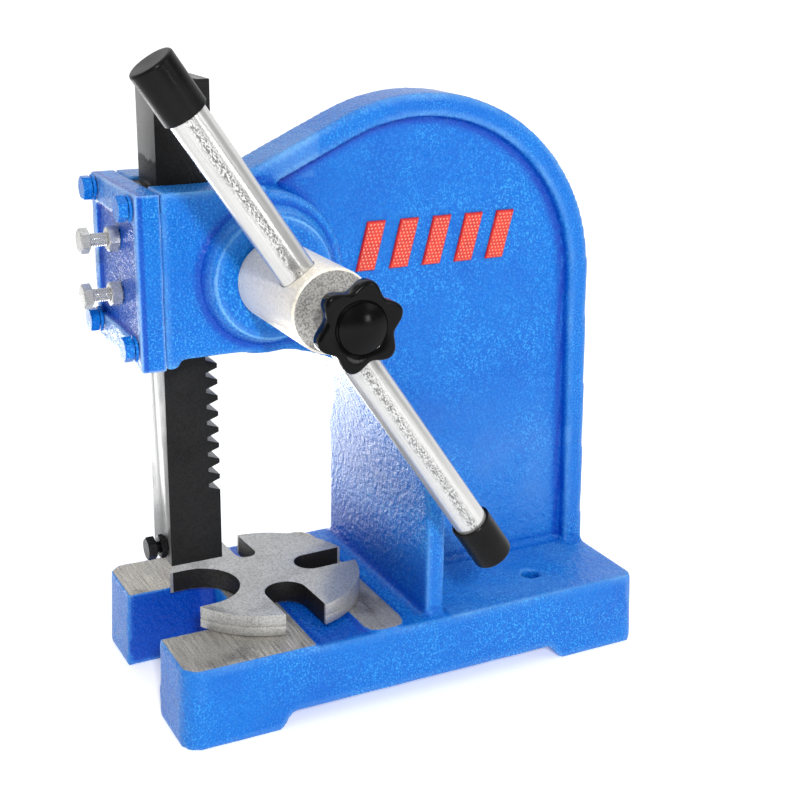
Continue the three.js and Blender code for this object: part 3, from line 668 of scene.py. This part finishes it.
def bossPiece(name, origin, paint):
    # the hub's boss as a turned cap whose skirt leaves the casting with a small fillet
    inner, face, root, height = (castings["boss"][k] for k in ("bore", "face", "root", "height"))
    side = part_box("front_cover")[1].x / mm
    corners = [
        (inner, side - 4), (inner, side + height), (face, side + height), (root, side + 0.15),
        (root + 1.6, side - 0.1), (root + 1.6, side - 4),
    ]
    loop = softened(corners, 1.1, 6)
    piece = turnedPiece(name, origin, (1, 0, 0), np.concatenate([loop, loop[:1]]), 160)
    away = (rowsOf(piece.data.vertices, "co") - origin) / mm
    radius = np.hypot(away[:, 1], away[:, 2])
    # painted shade on the skirt's front and underside, and a painted highlight on the rim of the face
    shadedSide = np.clip(0.35 - (0.75 * away[:, 1] + 0.66 * away[:, 2]) / radius, 0, 1)
    setMask(piece.data, "hollow", shadedSide * np.clip((radius - face - 0.5) / 1.5, 0, 1))
    setMask(piece.data, "edge", np.clip(1.2 - abs(radius - face), 0, 1))
    piece.data.materials.append(paint)
    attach(piece, "frame")
    return piece


def frameTint(points):
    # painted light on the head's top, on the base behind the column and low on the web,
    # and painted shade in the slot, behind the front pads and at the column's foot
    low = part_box("frame_casting")[0]
    x, y, z = abs(points[:, 0]) / mm, (points[:, 1] - low.y) / mm, points[:, 2] / mm
    # millimetres from the middle, from the base's front edge and from the bench
    headLevel, headEnd, baseLevel, slotLevel, padLevel = 251, 90, 38.5, 39, 39.5
    slotHalf, slotEnd, padsEnd, columnFront, columnBack = 25.6, 44.6, 80.5, 127.5, 140
    headTop = (z > headLevel) & (y < headEnd)
    baseTop = (abs(z - baseLevel) < 1) & (y > columnBack)
    web = np.clip((140 - z) / 60, 0, 1) * ((x < 7) & (y > columnBack) & (z > 40))
    slot = (x < slotHalf) & (y < slotEnd) & (z < slotLevel)
    behindPads = (abs(y - padsEnd) < 14) & (x < 60) & (abs(z - padLevel) < 1.5)
    foot = np.clip((80 - z) / 25, 0, 1) * ((abs(y - columnFront) < 1.5) & (z > slotLevel))
    pale, dark = castings["pale"], castings["dark"]
    # painted light first, painted shade second
    return (
        pale["headTop"] * headTop + pale["baseTop"] * baseTop + pale["web"] * web,
        dark["slot"] * slot + dark["behindPads"] * behindPads + dark["foot"] * foot,
    )


def coverTint(points):
    # painted highlight on the raised border and painted shade on the recessed panel
    depth = (points[:, 1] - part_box("front_cover")[0].y) / mm
    border, panel = depth < 0.7, (depth > 1.1) & (depth < 3.2)
    return castings["pale"]["coverBorder"] * border, castings["dark"]["coverPanel"] * panel


def nearPads(points):
    # the ground pads and their edges stay as sharp as they are
    return abs(points[:, 2] - groundPads()) < 2.2 * mm


def makeCastings():
    body = castPiece("frame_body", "frame_casting", castings["frame"], frameTint, nearPads, shapeFrame)
    standFor(body, "frame_casting", framePaint())
    bossPiece("hub_boss", centreOf("pinion_shaft") * (0, 1, 1), bluePaint("bossEnamel"))
    cover = castPiece("cover_casting", "front_cover", castings["cover"], coverTint)
    # the cover's painted edge highlight is paler still
    paint = bluePaint("coverEnamel", 0.9, Peel_Scale=300.0, Edge_Color=(0.5, 0.7, 0.95, 1))
    standFor(cover, "front_cover", paint)
    print("castings made:", len(body.data.polygons), "and", len(cover.data.polygons), "faces")


bolts = {
    "cover": {"flats": 10, "head": 4, "thread": 6, "pitch": 1.0, "plain": True},
    "adjuster": {"flats": 10, "head": 4, "thread": 6, "pitch": 1.0},
    "nose": {"flats": 10, "head": 4, "thread": 6, "pitch": 1.0},
    "shaftEnd": {"flats": 13.3, "head": 5.3, "thread": 8, "pitch": 1.25},
    "nutBore": 6.3,
    # a share of the CAD washer's thickness, and the opening in radians
    "springWasher": {"bore": 6.4, "thickness": 0.72, "climb": 0.26, "opening": 0.22},
}


def hexRadius(angle, flats):
    # the distance from the middle of a hexagon to its side at that angle
    return flats / 2 / np.cos((angle + math.pi / 6) % (math.pi / 3) - math.pi / 6)


def hexPiece(name, origin, axis, flats, heights, turn, bore=0.0):
    # A hexagon cut by a 30 degree cone at its outer face, so each side ends in an arc; a nut has both faces
    # cut and a bore. heights run along the axis, from the inner face to the outer one, in millimetres.
    low, high = heights
    steps = np.linspace(0, 1, 7)
    rise = 0.17 * flats
    column = np.concatenate([low + steps * rise, high - (1 - steps) * rise])[None]
    angle = fullTurn(96)
    cone = flats * 0.485 + (high - column) * math.sqrt(3)
    if bore:
        cone = np.minimum(cone, flats * 0.485 + (column - low) * math.sqrt(3))
    radius = np.minimum(hexRadius(angle + turn, flats), cone) + 0 * column
    column = column + 0 * angle
    inner = np.full_like(angle, bore / 2)
    radius = np.concatenate([inner, radius, inner], 1)
    column = np.concatenate([column[:, :1], column, column[:, -1:]], 1)
    if bore:
        radius, column = (np.concatenate([a, a[:, :1]], 1) for a in (radius, column))
    piece = roundPiece(name, origin, axis, radius * mm, column * mm, 96)
    return shadeByAngle(piece, 20)


def threadPart(origin, axis, diameter, pitch, start, end, steps=10, segments=28):
    # the radius goes up and down once a pitch along the axis, and the phase moves on by one turn a turn
    angle = fullTurn(segments)
    along = np.linspace(start, end, max(4, int((end - start) / pitch * steps)))[None]
    crest = np.clip(1.5 * np.cos(2 * math.pi * along / pitch - angle), -1, 1) * 0.5 + 0.5
    taper = np.minimum(1, np.minimum(along - start, end - along) / pitch + 0.15)
    radius = diameter / 2 * mm * (1 - 0.14 * (1 - crest * taper))
    points = around(origin, axis, angle, radius, along * mm + 0 * angle)
    tips = [around(origin, axis, 0 * angle, 0 * angle, a * mm + 0 * angle) for a in (start, end)]
    points = np.concatenate([tips[0], points, tips[1]], 1)
    return points, gridFaces(*points.shape[:2])


def joinPieces(name, *pieces):
    # several closed shells kept in one mesh
    mesh = bpy.data.meshes.new(name)
    with opened(mesh) as form:
        for piece in pieces:
            form.from_mesh(piece.data)
            bpy.data.objects.remove(piece)
    return shadeByAngle(linked(name, mesh), 25)


def boltPiece(name, node, axis, look, turn):
    # the head's outer face and the tip are the ends of the CAD node's box along the axis
    low, high = (np.array(c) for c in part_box(node))
    axis = np.array(axis, float)
    origin = centreOf(node)
    half = abs((high - low) @ axis) / 2 / mm
    headEnd = -half + look["head"]
    head = hexPiece(name + "Head", origin, -axis, look["flats"], (-headEnd, half), turn)
    end = half - 0.1
    if look.get("plain"):
        radius = look["thread"] / 2
        corners = [(0, headEnd - 0.2), (radius, headEnd - 0.2), (radius, end), (0, end)]
        shank = turnedPiece(name + "Shank", origin, axis, softened(corners, 0.4), 32)
    else:
        data = threadPart(origin, axis, look["thread"], look["pitch"], headEnd - 0.2, end)
        shank = pieceFrom(name + "Shank", *data)
    return joinPieces(name, head, shank)


def springWasher(name, node):
    # a flat bar's section carried almost once round the bolt while it climbs a little
    low, high = boxOf(node)
    origin = centreOf(node)
    look = bolts["springWasher"]
    outer, inner = (high[0] - low[0]) / 2, look["bore"] / 2
    thick, opening = high[1] - low[1], look["opening"]
    bar, climb = thick * look["thickness"], thick * look["climb"]
    angle = np.linspace(opening / 2, 2 * math.pi - opening / 2, 72)[:, None]
    section = softened([(inner, 0.5), (inner, 0), (outer, 0), (outer, 1), (inner, 1), (inner, 0.5)], 0.18, 3)
    radius = section[None, :, 0] * mm
    along = (-thick / 2 + 0.02 + section[None, :, 1] * bar + climb * angle / (2 * math.pi)) * mm
    points = around(origin, (0, 1, 0), angle, radius + 0 * angle, along)
    rows, columns = points.shape[:2]
    faces = gridFaces(rows, columns, closed=False).tolist()
    faces += [list(range(columns - 1)), [(rows - 1) * columns + j for j in range(columns - 1)][::-1]]
    return pieceFrom(name, points, faces)


def makeFasteners():
    zinc = metal(
        "zincPlate", 0.03, 0.55, Color=(0.6, 0.6, 0.59, 1), Dark_Color=(0.2, 0.2, 0.19, 1),
        Grain_Scale=900.0, Grain=0.3, Streaks=0.15, Stains=0.35, Smoothness=0.22,
    )
    black = metal(
        "blackOxide", 0.03, Color=(0.025, 0.025, 0.027, 1), Dark_Color=(0.008, 0.008, 0.008, 1),
        Grain_Scale=900.0, Grain=0.4, Streaks=0.2, Stains=0.5, Smoothness=0.3,
    )
    enamel = bluePaint("boltEnamel", 0.12, Peel_Scale=700.0)
    for i, corner in enumerate(("top_left", "top_right", "bottom_left", "bottom_right")):
        bolt = boltPiece(f"cover_screw_{corner}", f"cover_bolt_{corner}", (0, 1, 0), bolts["cover"], 0.5 * i)
        standFor(bolt, f"cover_bolt_{corner}", enamel)
        washer = springWasher(f"spring_washer_{corner}", f"cover_washer_{corner}")
        standFor(washer, f"cover_washer_{corner}", enamel)
    for i, level in enumerate(("upper", "lower")):
        node = f"gib_adjuster_{level}"
        screw = boltPiece(f"adjuster_screw_{level}", node, (0, 1, 0), bolts["adjuster"], 0.4 + i)
        standFor(screw, node, zinc)
        lockNut(f"lock_nut_{level}", f"adjuster_nut_{level}", 0.9 - 0.5 * i, zinc)
    screw = boltPiece("nose_screw", "nose_set_bolt", (0, 1, 0), bolts["nose"], 0.3)
    standFor(screw, "nose_set_bolt", black)
    lockNut("nose_nut", "nose_set_nut", 0.0, black)
    screw = boltPiece("end_screw", "shaft_end_screw", (1, 0, 0), bolts["shaftEnd"], 0.2)
    standFor(screw, "shaft_end_screw", zinc)
    low, high = boxOf("shaft_end_washer")
    outer, half, bore = (high[1] - low[1]) / 2, (high[0] - low[0]) / 2, 4.3
    ring = [(bore, 0), (bore, -half), (outer, -half), (outer, half), (bore, half), (bore, 0)]
    washer = turnedPiece("end_washer", centreOf("shaft_end_washer"), (1, 0, 0), softened(ring, 0.5))
    standFor(washer, "shaft_end_washer", zinc)
    low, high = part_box("clamp_stud")
    half = (high.x - low.x) / 2 / mm
    data = threadPart(centreOf("clamp_stud"), (1, 0, 0), 6, 1.0, -half, half)
    standFor(pieceFrom("knob_stud", *data), "clamp_stud", black)
    print("fasteners made")
    return zinc, black


def lockNut(name, node, turn, material):
    low, high = boxOf(node)
    half = (high[1] - low[1]) / 2
    nut = hexPiece(name, centreOf(node), (0, 1, 0), 10, (-half, half), turn, bolts["nutBore"])
    return standFor(nut, node, material)


def makeRam():
    bar = bevelled(mergedCopy("ram", "rack_bar"), 0.3)
    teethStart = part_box("ram")[1].y - 5.8 * mm
    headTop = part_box("front_cover")[1].z

    def brightPlaces(tree):
        # the ground front face, and the cut flanks of the teeth, which stand in the back quarter
        front = ranged(tree, facing(tree, 1), -0.8, -0.95)
        wobble = ranged(tree, noise(tree, objectCoords(tree), 160, 3.0), 0.3, 0.7, (-1.2 * mm, 1.2 * mm))
        height = sums(tree, "ADD", place(tree, 2), wobble)
        # and a dark band on the front face where the ram comes out of the head
        above = ranged(tree, height, headTop - 2 * mm, headTop)
        below = ranged(tree, height, headTop + 9 * mm, headTop + 11 * mm, (1, 0))
        darkBand = sums(tree, "MULTIPLY", sums(tree, "MULTIPLY", above, below), 0.92)
        front = sums(tree, "MULTIPLY", front, sums(tree, "SUBTRACT", 1.0, darkBand))
        side = sums(tree, "ABSOLUTE", facing(tree, 0))
        behind = sums(tree, "GREATER_THAN", place(tree, 1), teethStart)
        teeth = sums(tree, "MULTIPLY", ranged(tree, side, 0.6, 0.4), behind)
        flank = sums(tree, "GREATER_THAN", sums(tree, "ABSOLUTE", facing(tree, 2)), 0.3)
        return sums(tree, "ADD", front, sums(tree, "MULTIPLY", teeth, flank), True)

    dark = {
        "Color": (0.013, 0.013, 0.0135, 1), "Dark_Color": (0.005, 0.005, 0.005, 1),
        "Grain_Scale": 1300.0, "Grain": 0.5, "Streaks": 0.1, "Stains": 0.3, "Smoothness": 0.42,
    }
    bright = {
        "Color": (0.2, 0.2, 0.197, 1), "Dark_Color": (0.08, 0.08, 0.077, 1),
        "Streak_Stretch": (2600.0, 2600.0, 60.0), "Grain": 0.25, "Streaks": 0.4, "Stains": 0.45,
        "Smoothness": 0.28,
    }
    standFor(bar, "ram", twoMetals("ramSteel", dark, bright, brightPlaces, 0.05, 0.12, 0.15))
    print("ram made:", len(bar.data.polygons), "faces")


hub = {"length": 60.2, "chamfer": 0.9, "journal": 25, "seat": 19, "shoulder": 13.45, "barHole": 16.6}
# the handle's reflection turn is the angle round the bar where its painted reflection lies
handle = {
    "reflectionTurn": 1.78, "chamfer": 1.0, "gripLength": 23.5, "gripRound": 1.5, "gripWall": 1.2, "gripCap": 2.0,
}
knob = {
    "tip": 18.9, "valley": 14.9, "lobes": 6, "lobeTurn": -12.6, "lobeThickness": 6.8, "edge": 1.5,
    "collar": 17.6, "collarHeight": 7.1, "dome": 20.8, "domeRise": 3.0, "socket": 6.6, "socketDepth": 9,
}


def pinCorners(radius, half, chamfer):
    # a pin's profile from end to end
    upper = [(radius, half - chamfer), (radius - chamfer, half), (0, half)]
    return [(x, -z) for x, z in upper[::-1]] + upper


def rodPiece(name, origin, axis, diameter, low, high, segments):
    corners = [(0, low), (diameter / 2, low), (diameter / 2, high), (0, high)]
    return turnedPiece(name, origin, axis, corners, segments)


def makeShaft():
    low, high = boxOf("pinion_shaft")
    origin = centreOf("pinion_shaft") * (0, 1, 1)
    start, end, radius = high[0] - hub["length"], high[0], (high[2] - low[2]) / 2
    c = hub["chamfer"]
    seat, journal = hub["seat"] / 2, hub["journal"] / 2
    corners = [
        (0, low[0]), (seat, low[0]), (seat, hub["shoulder"]), (journal, hub["shoulder"]), (journal, start),
        (radius - c, start), (radius, start + c), (radius, end - c), (radius - c, end), (0, end),
    ]
    shaft = turnedPiece("pinion_hub", origin, (1, 0, 0), softened(corners, 0.25, 3), 160)
    barAxis = np.array(jointOf["handle_slide"]["axis"])
    barPlace = centreOf("handle_bar")
    hole = rodPiece("barHole", barPlace, barAxis, hub["barHole"], -140, 140, 128)
    studHole = rodPiece("studHole", origin, (1, 0, 0), 6.6, barPlace[0] / mm, end + 5, 48)
    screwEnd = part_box("shaft_end_screw")[1].x / mm
    screwHole = rodPiece("screwHole", origin, (1, 0, 0), 8.6, low[0] - 5, screwEnd + 0.5, 48)
    keyLow, keyHigh = (np.array(c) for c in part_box("drive_key"))
    corner = np.array([[x, y, z] for x in (0, 1) for y in (0, 1) for z in (0, 1)])
    slotCorners = keyLow - 0.3 * mm + corner * (keyHigh - keyLow + 0.6 * mm)
    sides = [(0, 1, 3, 2), (4, 6, 7, 5), (0, 4, 5, 1), (2, 3, 7, 6), (0, 2, 6, 4), (1, 5, 7, 3)]
    keySlot = pieceFrom("keySlot", slotCorners, sides)
    drilled(shaft, hole, studHole, screwHole, keySlot)

    def endFace(tree):
        return ranged(tree, facing(tree, 0), 0.85, 0.95)

    side = {
        "Color": (1.0, 0.93, 0.8, 1), "Dark_Color": (0.5, 0.47, 0.42, 1),
        "Streak_Stretch": (2400.0, 90.0, 90.0), "Grain_Scale": 900.0, "Grain": 0.3, "Streaks": 0.25,
        "Stains": 0.5, "Smoothness": 0.3,
    }
    face = {
        "Color": (0.46, 0.45, 0.43, 1), "Dark_Color": (0.12, 0.12, 0.115, 1), "Grain_Scale": 1300.0,
        "Grain": 0.65, "Streaks": 0.1, "Stains": 0.3, "Smoothness": 0.4,
    }
    standFor(shaft, "pinion_shaft", twoMetals("hubSteel", side, face, endFace, 0.12, 0.2))
    print("shaft made:", len(shaft.data.polygons), "faces")


def barMetal(axis, origin):
    # bright plate with fine lines along the bar, and one speckled dark streak on the side that faces the camera, a
    # painted reflection
    material, tree, shader = newMaterial("barPlate", Metallic=0.6)
    turn = axisFrame(axis)
    coords = objectCoords(tree)
    local = []
    for direction in turn.T:
        values, links = {1: tuple(direction)}, {0: coords}
        dot = addNode(tree, "ShaderNodeVectorMath", values, links, operation="DOT_PRODUCT")
        local.append(sums(tree, "SUBTRACT", dot.outputs["Value"], float(direction @ origin)))
    own = addNode(tree, "ShaderNodeCombineXYZ", links={0: local[0], 1: local[1], 2: local[2]}).outputs[0]
    lines = noise(tree, own, 1.0, 3.0, stretch=(1700, 1700, 26))
    specks = noise(tree, own, 1.0, 2.0, stretch=(1900, 1900, 900))
    # the painted reflection's place round the bar
    angle = sums(tree, "ARCTAN2", local[1], local[0])
    wander = ranged(tree, noise(tree, own, 1.0, 2.0, stretch=(1, 1, 26)), 0.3, 0.7, (-0.08, 0.08))
    off = sums(tree, "SUBTRACT", sums(tree, "ADD", angle, wander), handle["reflectionTurn"])
    off = sums(tree, "ABSOLUTE", off)
    darkReflection = sums(tree, "MULTIPLY", ranged(tree, off, 0.08, 0.42, (1, 0)), ranged(tree, specks, 0.44, 0.56))
    fine = ranged(tree, lines, 0.45, 0.75, (0, 0.25))
    amount = sums(tree, "ADD", sums(tree, "MULTIPLY", darkReflection, 0.9), fine, True)
    color = mixed(tree, amount, (0.62, 0.62, 0.61, 1), (0.16, 0.16, 0.16, 1))
    rough = ranged(tree, amount, 0, 1, (0.2, 0.5))
    finishWith(tree, shader, color, rough, lines, 0.02)
    return material


def makeHandle():
    axis = np.array(jointOf["handle_slide"]["axis"])
    low, high = boxOf("handle_bar")
    origin = centreOf("handle_bar")
    diameter = high[0] - low[0]
    length = ((high - low)[2] - diameter * abs(axis[1])) / abs(axis[2])
    radius = diameter / 2
    corners = softened(pinCorners(radius, length / 2, handle["chamfer"]), 0.3)
    bar = turnedPiece("lever_bar", origin, axis, corners, 96)
    standFor(bar, "handle_bar", barMetal(axis, origin))
    black = plastic("gripPlastic", (0.005, 0.005, 0.0053, 1), 0.26, 900, 0.05)
    inner = radius + 0.3
    outer = inner + handle["gripWall"]
    full, cap = handle["gripLength"], handle["gripLength"] - handle["gripCap"]
    end = [(outer, full / 2), (outer, full), (outer * 0.3, full - 0.07)]
    shell = [(0, cap), (inner, cap), (inner, 0.4), (inner + 0.3, 0), (outer - 0.3, 0), (outer, 0.4)]
    profile = np.concatenate([shell, softened(end, handle["gripRound"], 8)[:-1], [(0, full - 0.1)]])
    for level, sign in (("upper", -1), ("lower", 1)):
        node = level + "_grip"
        mouth = centreOf(node) - sign * axis * full / 2 * mm
        grip = turnedPiece("grip_sleeve_" + level, mouth, sign * axis, profile, 96)
        standFor(grip, node, black)
    print("handle made")
    return black


def makeKnob():
    origin = np.array(jointOf["clamp_knob_turn"]["pos_m"])
    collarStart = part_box("clamp_knob")[0].x / mm
    lobeStart = collarStart + knob["collarHeight"]
    lobeEnd = lobeStart + knob["lobeThickness"]
    collar, dome, edge, socket = knob["collar"] / 2, knob["dome"] / 2, knob["edge"], knob["socket"] / 2
    inside = [(0, collarStart + knob["socketDepth"]), (socket, collarStart + knob["socketDepth"])]
    neck = [(socket, collarStart), (collar - 0.8, collarStart), (collar, collarStart + 0.8)]
    neck += [(collar, lobeStart), (collar + 1.5, lobeStart)]
    turnEdge = np.linspace(-90, 90, 13) * math.pi / 180
    # the rim is a quarter round of radius edge at each end of the lobes' thickness
    bend = np.where(turnEdge < 0, lobeStart + edge, lobeEnd - edge)
    rim = np.stack([edge * np.cos(turnEdge) - edge, bend + edge * np.sin(turnEdge)], 1)
    front = [(dome + 0.9, lobeEnd), (dome + 0.5, lobeEnd - 0.35)]
    front += [(dome, lobeEnd), (dome - 0.15, lobeEnd + 0.8)]
    # the dome is a parabola that starts 1 mm above the lobes
    arch = np.linspace(0, 1, 10)[1:]
    rise = lobeEnd + 1.0 + (knob["domeRise"] - 1.0) * (1 - (1 - arch) ** 2)
    crown = np.stack([(dome - 0.6) * (1 - arch), rise], 1)
    plainPart = np.concatenate([inside, softened(neck, 0.4, 3)])
    profile = np.concatenate([plainPart, rim, front, crown])
    lobed = np.zeros(len(profile))
    lobed[len(plainPart) : len(plainPart) + len(rim)] = 1
    segments = knob["lobes"] * 40
    angle = fullTurn(segments)
    wave = np.cos(knob["lobes"] * (angle - math.radians(knob["lobeTurn"])))
    mean, half = (knob["tip"] + knob["valley"]) / 2, (knob["tip"] - knob["valley"]) / 2
    radius = profile[None, :, 0] + lobed * (mean + half * wave)
    piece = roundPiece("knob_star", origin, (1, 0, 0), radius * mm, profile[None, :, 1] * mm, segments)
    shadeByAngle(piece, 50)
    gloss = plastic("knobPlastic", (0.002, 0.002, 0.0022, 1), 0.1, 500, 0.04)
    standFor(piece, "clamp_knob", gloss)
    print("knob made:", len(piece.data.polygons), "faces")


plate = {
    "radius": 47.7, "step": 0.1, "turn": 2.5, "pinHole": 12.6, "pinDepth": 6,
    # width, distance of the rounded end from the centre, direction in degrees
    "slots": ((40, 15.6, -90), (21, 14.2, 0), (17, 17, 90), (10.5, 19.9, 180)),
}


def plateOutline(radius, inset):
    # round the rim from slot to slot, and in and out of each slot by way of its half-round end
    parts = []
    slots = plate["slots"]
    for i, (width, end, degrees) in enumerate(slots):
        half = width / 2 + inset
        heading = math.radians(degrees + plate["turn"])
        mouth = math.asin(half / radius)
        nextWidth, _, nextDegrees = slots[(i + 1) % len(slots)]
        nextHeading = math.radians(nextDegrees + plate["turn"])
        nextMouth = math.asin((nextWidth / 2 + inset) / radius)
        bend = np.linspace(-90, -270, 41) * math.pi / 180
        tip = end + width / 2
        arc = np.stack([tip + half * np.cos(bend), half * np.sin(bend)], 1)
        depth = np.linspace(radius * math.cos(mouth), tip, 8)[:, None]
        into = np.concatenate([depth, 0 * depth - half], 1)
        out = np.concatenate([depth[::-1], 0 * depth + half], 1)
        slot = np.concatenate([into[:-1], arc, out[1:-1]])
        turn = np.array([[math.cos(heading), -math.sin(heading)], [math.sin(heading), math.cos(heading)]])
        parts.append(slot @ turn.T)
        span = (nextHeading - heading) % (2 * math.pi)
        rim = heading + np.linspace(mouth, span - nextMouth, 49)
        parts.append(np.stack([radius * np.cos(rim), radius * np.sin(rim)], 1)[:-1])
    return np.concatenate(parts)


def makePlate():
    low, high = boxOf("table_plate")
    centre = np.array(jointOf["table_plate_turn"]["pos_m"])
    thick, step, radius = high[2] - low[2], plate["step"], plate["radius"]
    groove = thick * 0.42  # the height of the fine groove round the rim
    # height up the wall, how far the rim stands in, and how far the slot walls stand back
    levels = [
        (0, 0.3, 0.3), (0.1, 0.1, 0.1), (0.3, 0, 0), (groove - 0.25, 0, 0),
        (groove, 0.12, 0), (groove + 0.12, step + 0.3, 0), (groove + 0.4, step + 0.3, 0),
        (groove + 0.6, step, 0), (thick - 0.35, step, 0), (thick - 0.1, step + 0.1, 0.1),
        (thick, step + 0.32, 0.3),
    ]
    outlines = np.stack([plateOutline(radius - rim, wall) for _, rim, wall in levels], 1)
    heights = np.broadcast_to([[[level[0]] for level in levels]], outlines.shape[:2] + (1,))
    points = np.concatenate([outlines, heights], 2) * mm + centre + (0, 0, low[2] * mm)
    rows, columns = points.shape[:2]
    faces = gridFaces(rows, columns).tolist()
    faces += [[i * columns for i in range(rows)][::-1], [i * columns + columns - 1 for i in range(rows)]]
    disc = pieceFrom("slotted_disc", points, faces)
    ends = low[2] - 5, low[2] + plate["pinDepth"]
    drilled(disc, rodPiece("pinHole", centre, (0, 0, 1), plate["pinHole"], *ends, 64))

    def walls(tree):
        # dark where the slots were cast, bright on the turned rim
        source = objectCoords(tree)
        for operation, second in (("SUBTRACT", tuple(centre)), ("MULTIPLY", (1, 1, 0))):
            step = addNode(tree, "ShaderNodeVectorMath", {1: second}, {0: source}, operation=operation)
            source = step.outputs[0]
        distance = addNode(tree, "ShaderNodeVectorMath", links={0: source}, operation="LENGTH")
        inner = ranged(tree, distance.outputs["Value"], (radius - 1.6) * mm, (radius - 1.3) * mm, (1, 0))
        upright = ranged(tree, sums(tree, "ABSOLUTE", facing(tree, 2)), 0.25, 0.5, (1, 0))
        return sums(tree, "MULTIPLY", inner, upright)

    ground = {
        "Color": (0.5, 0.5, 0.49, 1), "Dark_Color": (0.16, 0.155, 0.14, 1), "Grain_Scale": 1100.0,
        "Grain": 0.4, "Streaks": 0.08, "Stains": 0.25, "Smoothness": 0.36,
    }
    cast = {
        "Color": (0.02, 0.018, 0.016, 1), "Dark_Color": (0.006, 0.006, 0.006, 1), "Grain_Scale": 700.0,
        "Grain": 0.5, "Streaks": 0.0, "Stains": 0.4, "Smoothness": 0.5,
    }
    standFor(disc, "table_plate", twoMetals("plateIron", ground, cast, walls, 0.07, 0.5))
    print("table plate made:", len(disc.data.polygons), "faces")


marks = {"lean": 6.0, "round": 0.8, "dotPitch": 1.9, "dotRise": 0.3}


def markPiece(name, node):
    # A leaning block whose face is a height field: it rises from the web over a rounded border, and small
    # domes stand on it in rows that are offset by half a pitch.
    low, high = boxOf(node)
    height, lean = high[2] - low[2], marks["lean"]
    width = high[1] - low[1] - lean
    relief = high[0] - low[0]
    u, v = np.meshgrid(np.linspace(0, 1, 61), np.linspace(0, 1, 131), indexing="ij")
    toSide = np.minimum(u, 1 - u) * width
    toEnd = np.minimum(v, 1 - v) * height
    near = np.clip(np.minimum(toSide, toEnd) / marks["round"], 0, 1)
    body = (relief - marks["dotRise"]) * np.sqrt(1 - (1 - near) ** 2)
    pitch = marks["dotPitch"]
    row = np.floor(v * height / (pitch * 0.87))
    across = (u * width + 0.5 * pitch * (row % 2)) % pitch - pitch / 2
    up = (v * height) % (pitch * 0.87) - pitch * 0.435
    dome = np.clip(1 - (across**2 + up**2) / (0.42 * pitch) ** 2, 0, 1) * (near > 0.99)
    x = low[0] + np.clip(body + dome * marks["dotRise"], 0.02, None)
    y = low[1] + u * width + v * lean
    z = low[2] + v * height
    top = np.stack([x, y, z], -1)
    back = np.stack([np.full_like(x, low[0]), y, z], -1)
    rows, columns = x.shape
    upper = gridFaces(rows, columns, closed=False)
    loop = np.concatenate(
        [
            np.arange(columns), np.arange(1, rows) * columns + columns - 1,
            (rows - 1) * columns + np.arange(columns - 2, -1, -1), np.arange(rows - 2, 0, -1) * columns,
        ]
    )
    under = loop + rows * columns
    walls = np.stack([loop, np.roll(loop, -1), np.roll(under, -1), under], -1)
    faces = upper.tolist() + walls.tolist() + [under.tolist()]
    mesh = bpy.data.meshes.new(name)
    mesh.from_pydata((np.concatenate([top.reshape(-1, 3), back.reshape(-1, 3)]) * mm).tolist(), [], faces)
    dots = mesh.attributes.new("dots", "FLOAT", "POINT")
    dots.data.foreach_set("value", np.concatenate([dome.ravel(), 0 * dome.ravel()]).astype(np.float32))
    with opened(mesh) as form:
        bmesh.ops.delete(form, geom=[vert for vert in form.verts if not vert.link_faces], context="VERTS")
        bmesh.ops.recalc_face_normals(form, faces=form.faces)
    return shadeByAngle(linked(name, mesh), 50)


def makeMarks():
    paint = redPaint()
    names = sorted(n for n in frame["nodes"] if n.startswith("mark_stripe"))
    for node in names:
        standFor(markPiece(node.replace("mark", "raised"), node), node, paint)
    print("marks made:", len(names))


def makeInside(zinc, black):
    turned = metal(
        "turnedSteel", 0.04, Color=(0.45, 0.44, 0.42, 1), Dark_Color=(0.15, 0.14, 0.13, 1),
        Grain_Scale=1200.0, Grain=0.35, Streaks=0.4, Stains=0.4, Smoothness=0.33,
    )
    for node, name, width, slot, material in (
        ("pinion_gear", "rack_pinion", 0.2, "satin_steel", turned),
        ("gib_strip", "gib_bar", 0.3, "satin_steel", black),
        ("drive_key", "parallel_key", 0.3, "bright_steel", zinc),
    ):
        standFor(bevelled(mergedCopy(node, name), width), node, material)
    low, high = boxOf("table_pivot_pin")
    radius, half = (high[0] - low[0]) / 2, (high[2] - low[2]) / 2
    corners = softened(pinCorners(radius, half, 0.6), 0.2)
    pin = turnedPiece("pivot_pin", centreOf("table_pivot_pin"), (0, 0, 1), corners, 64)
    standFor(pin, "table_pivot_pin", turned)
    print("inner pieces made")


makeCastings()
zincPlate, blackOxide = makeFasteners()
makeRam()
makeShaft()
makeHandle()
makeKnob()
makePlate()
makeMarks()
makeInside(zincPlate, blackOxide)
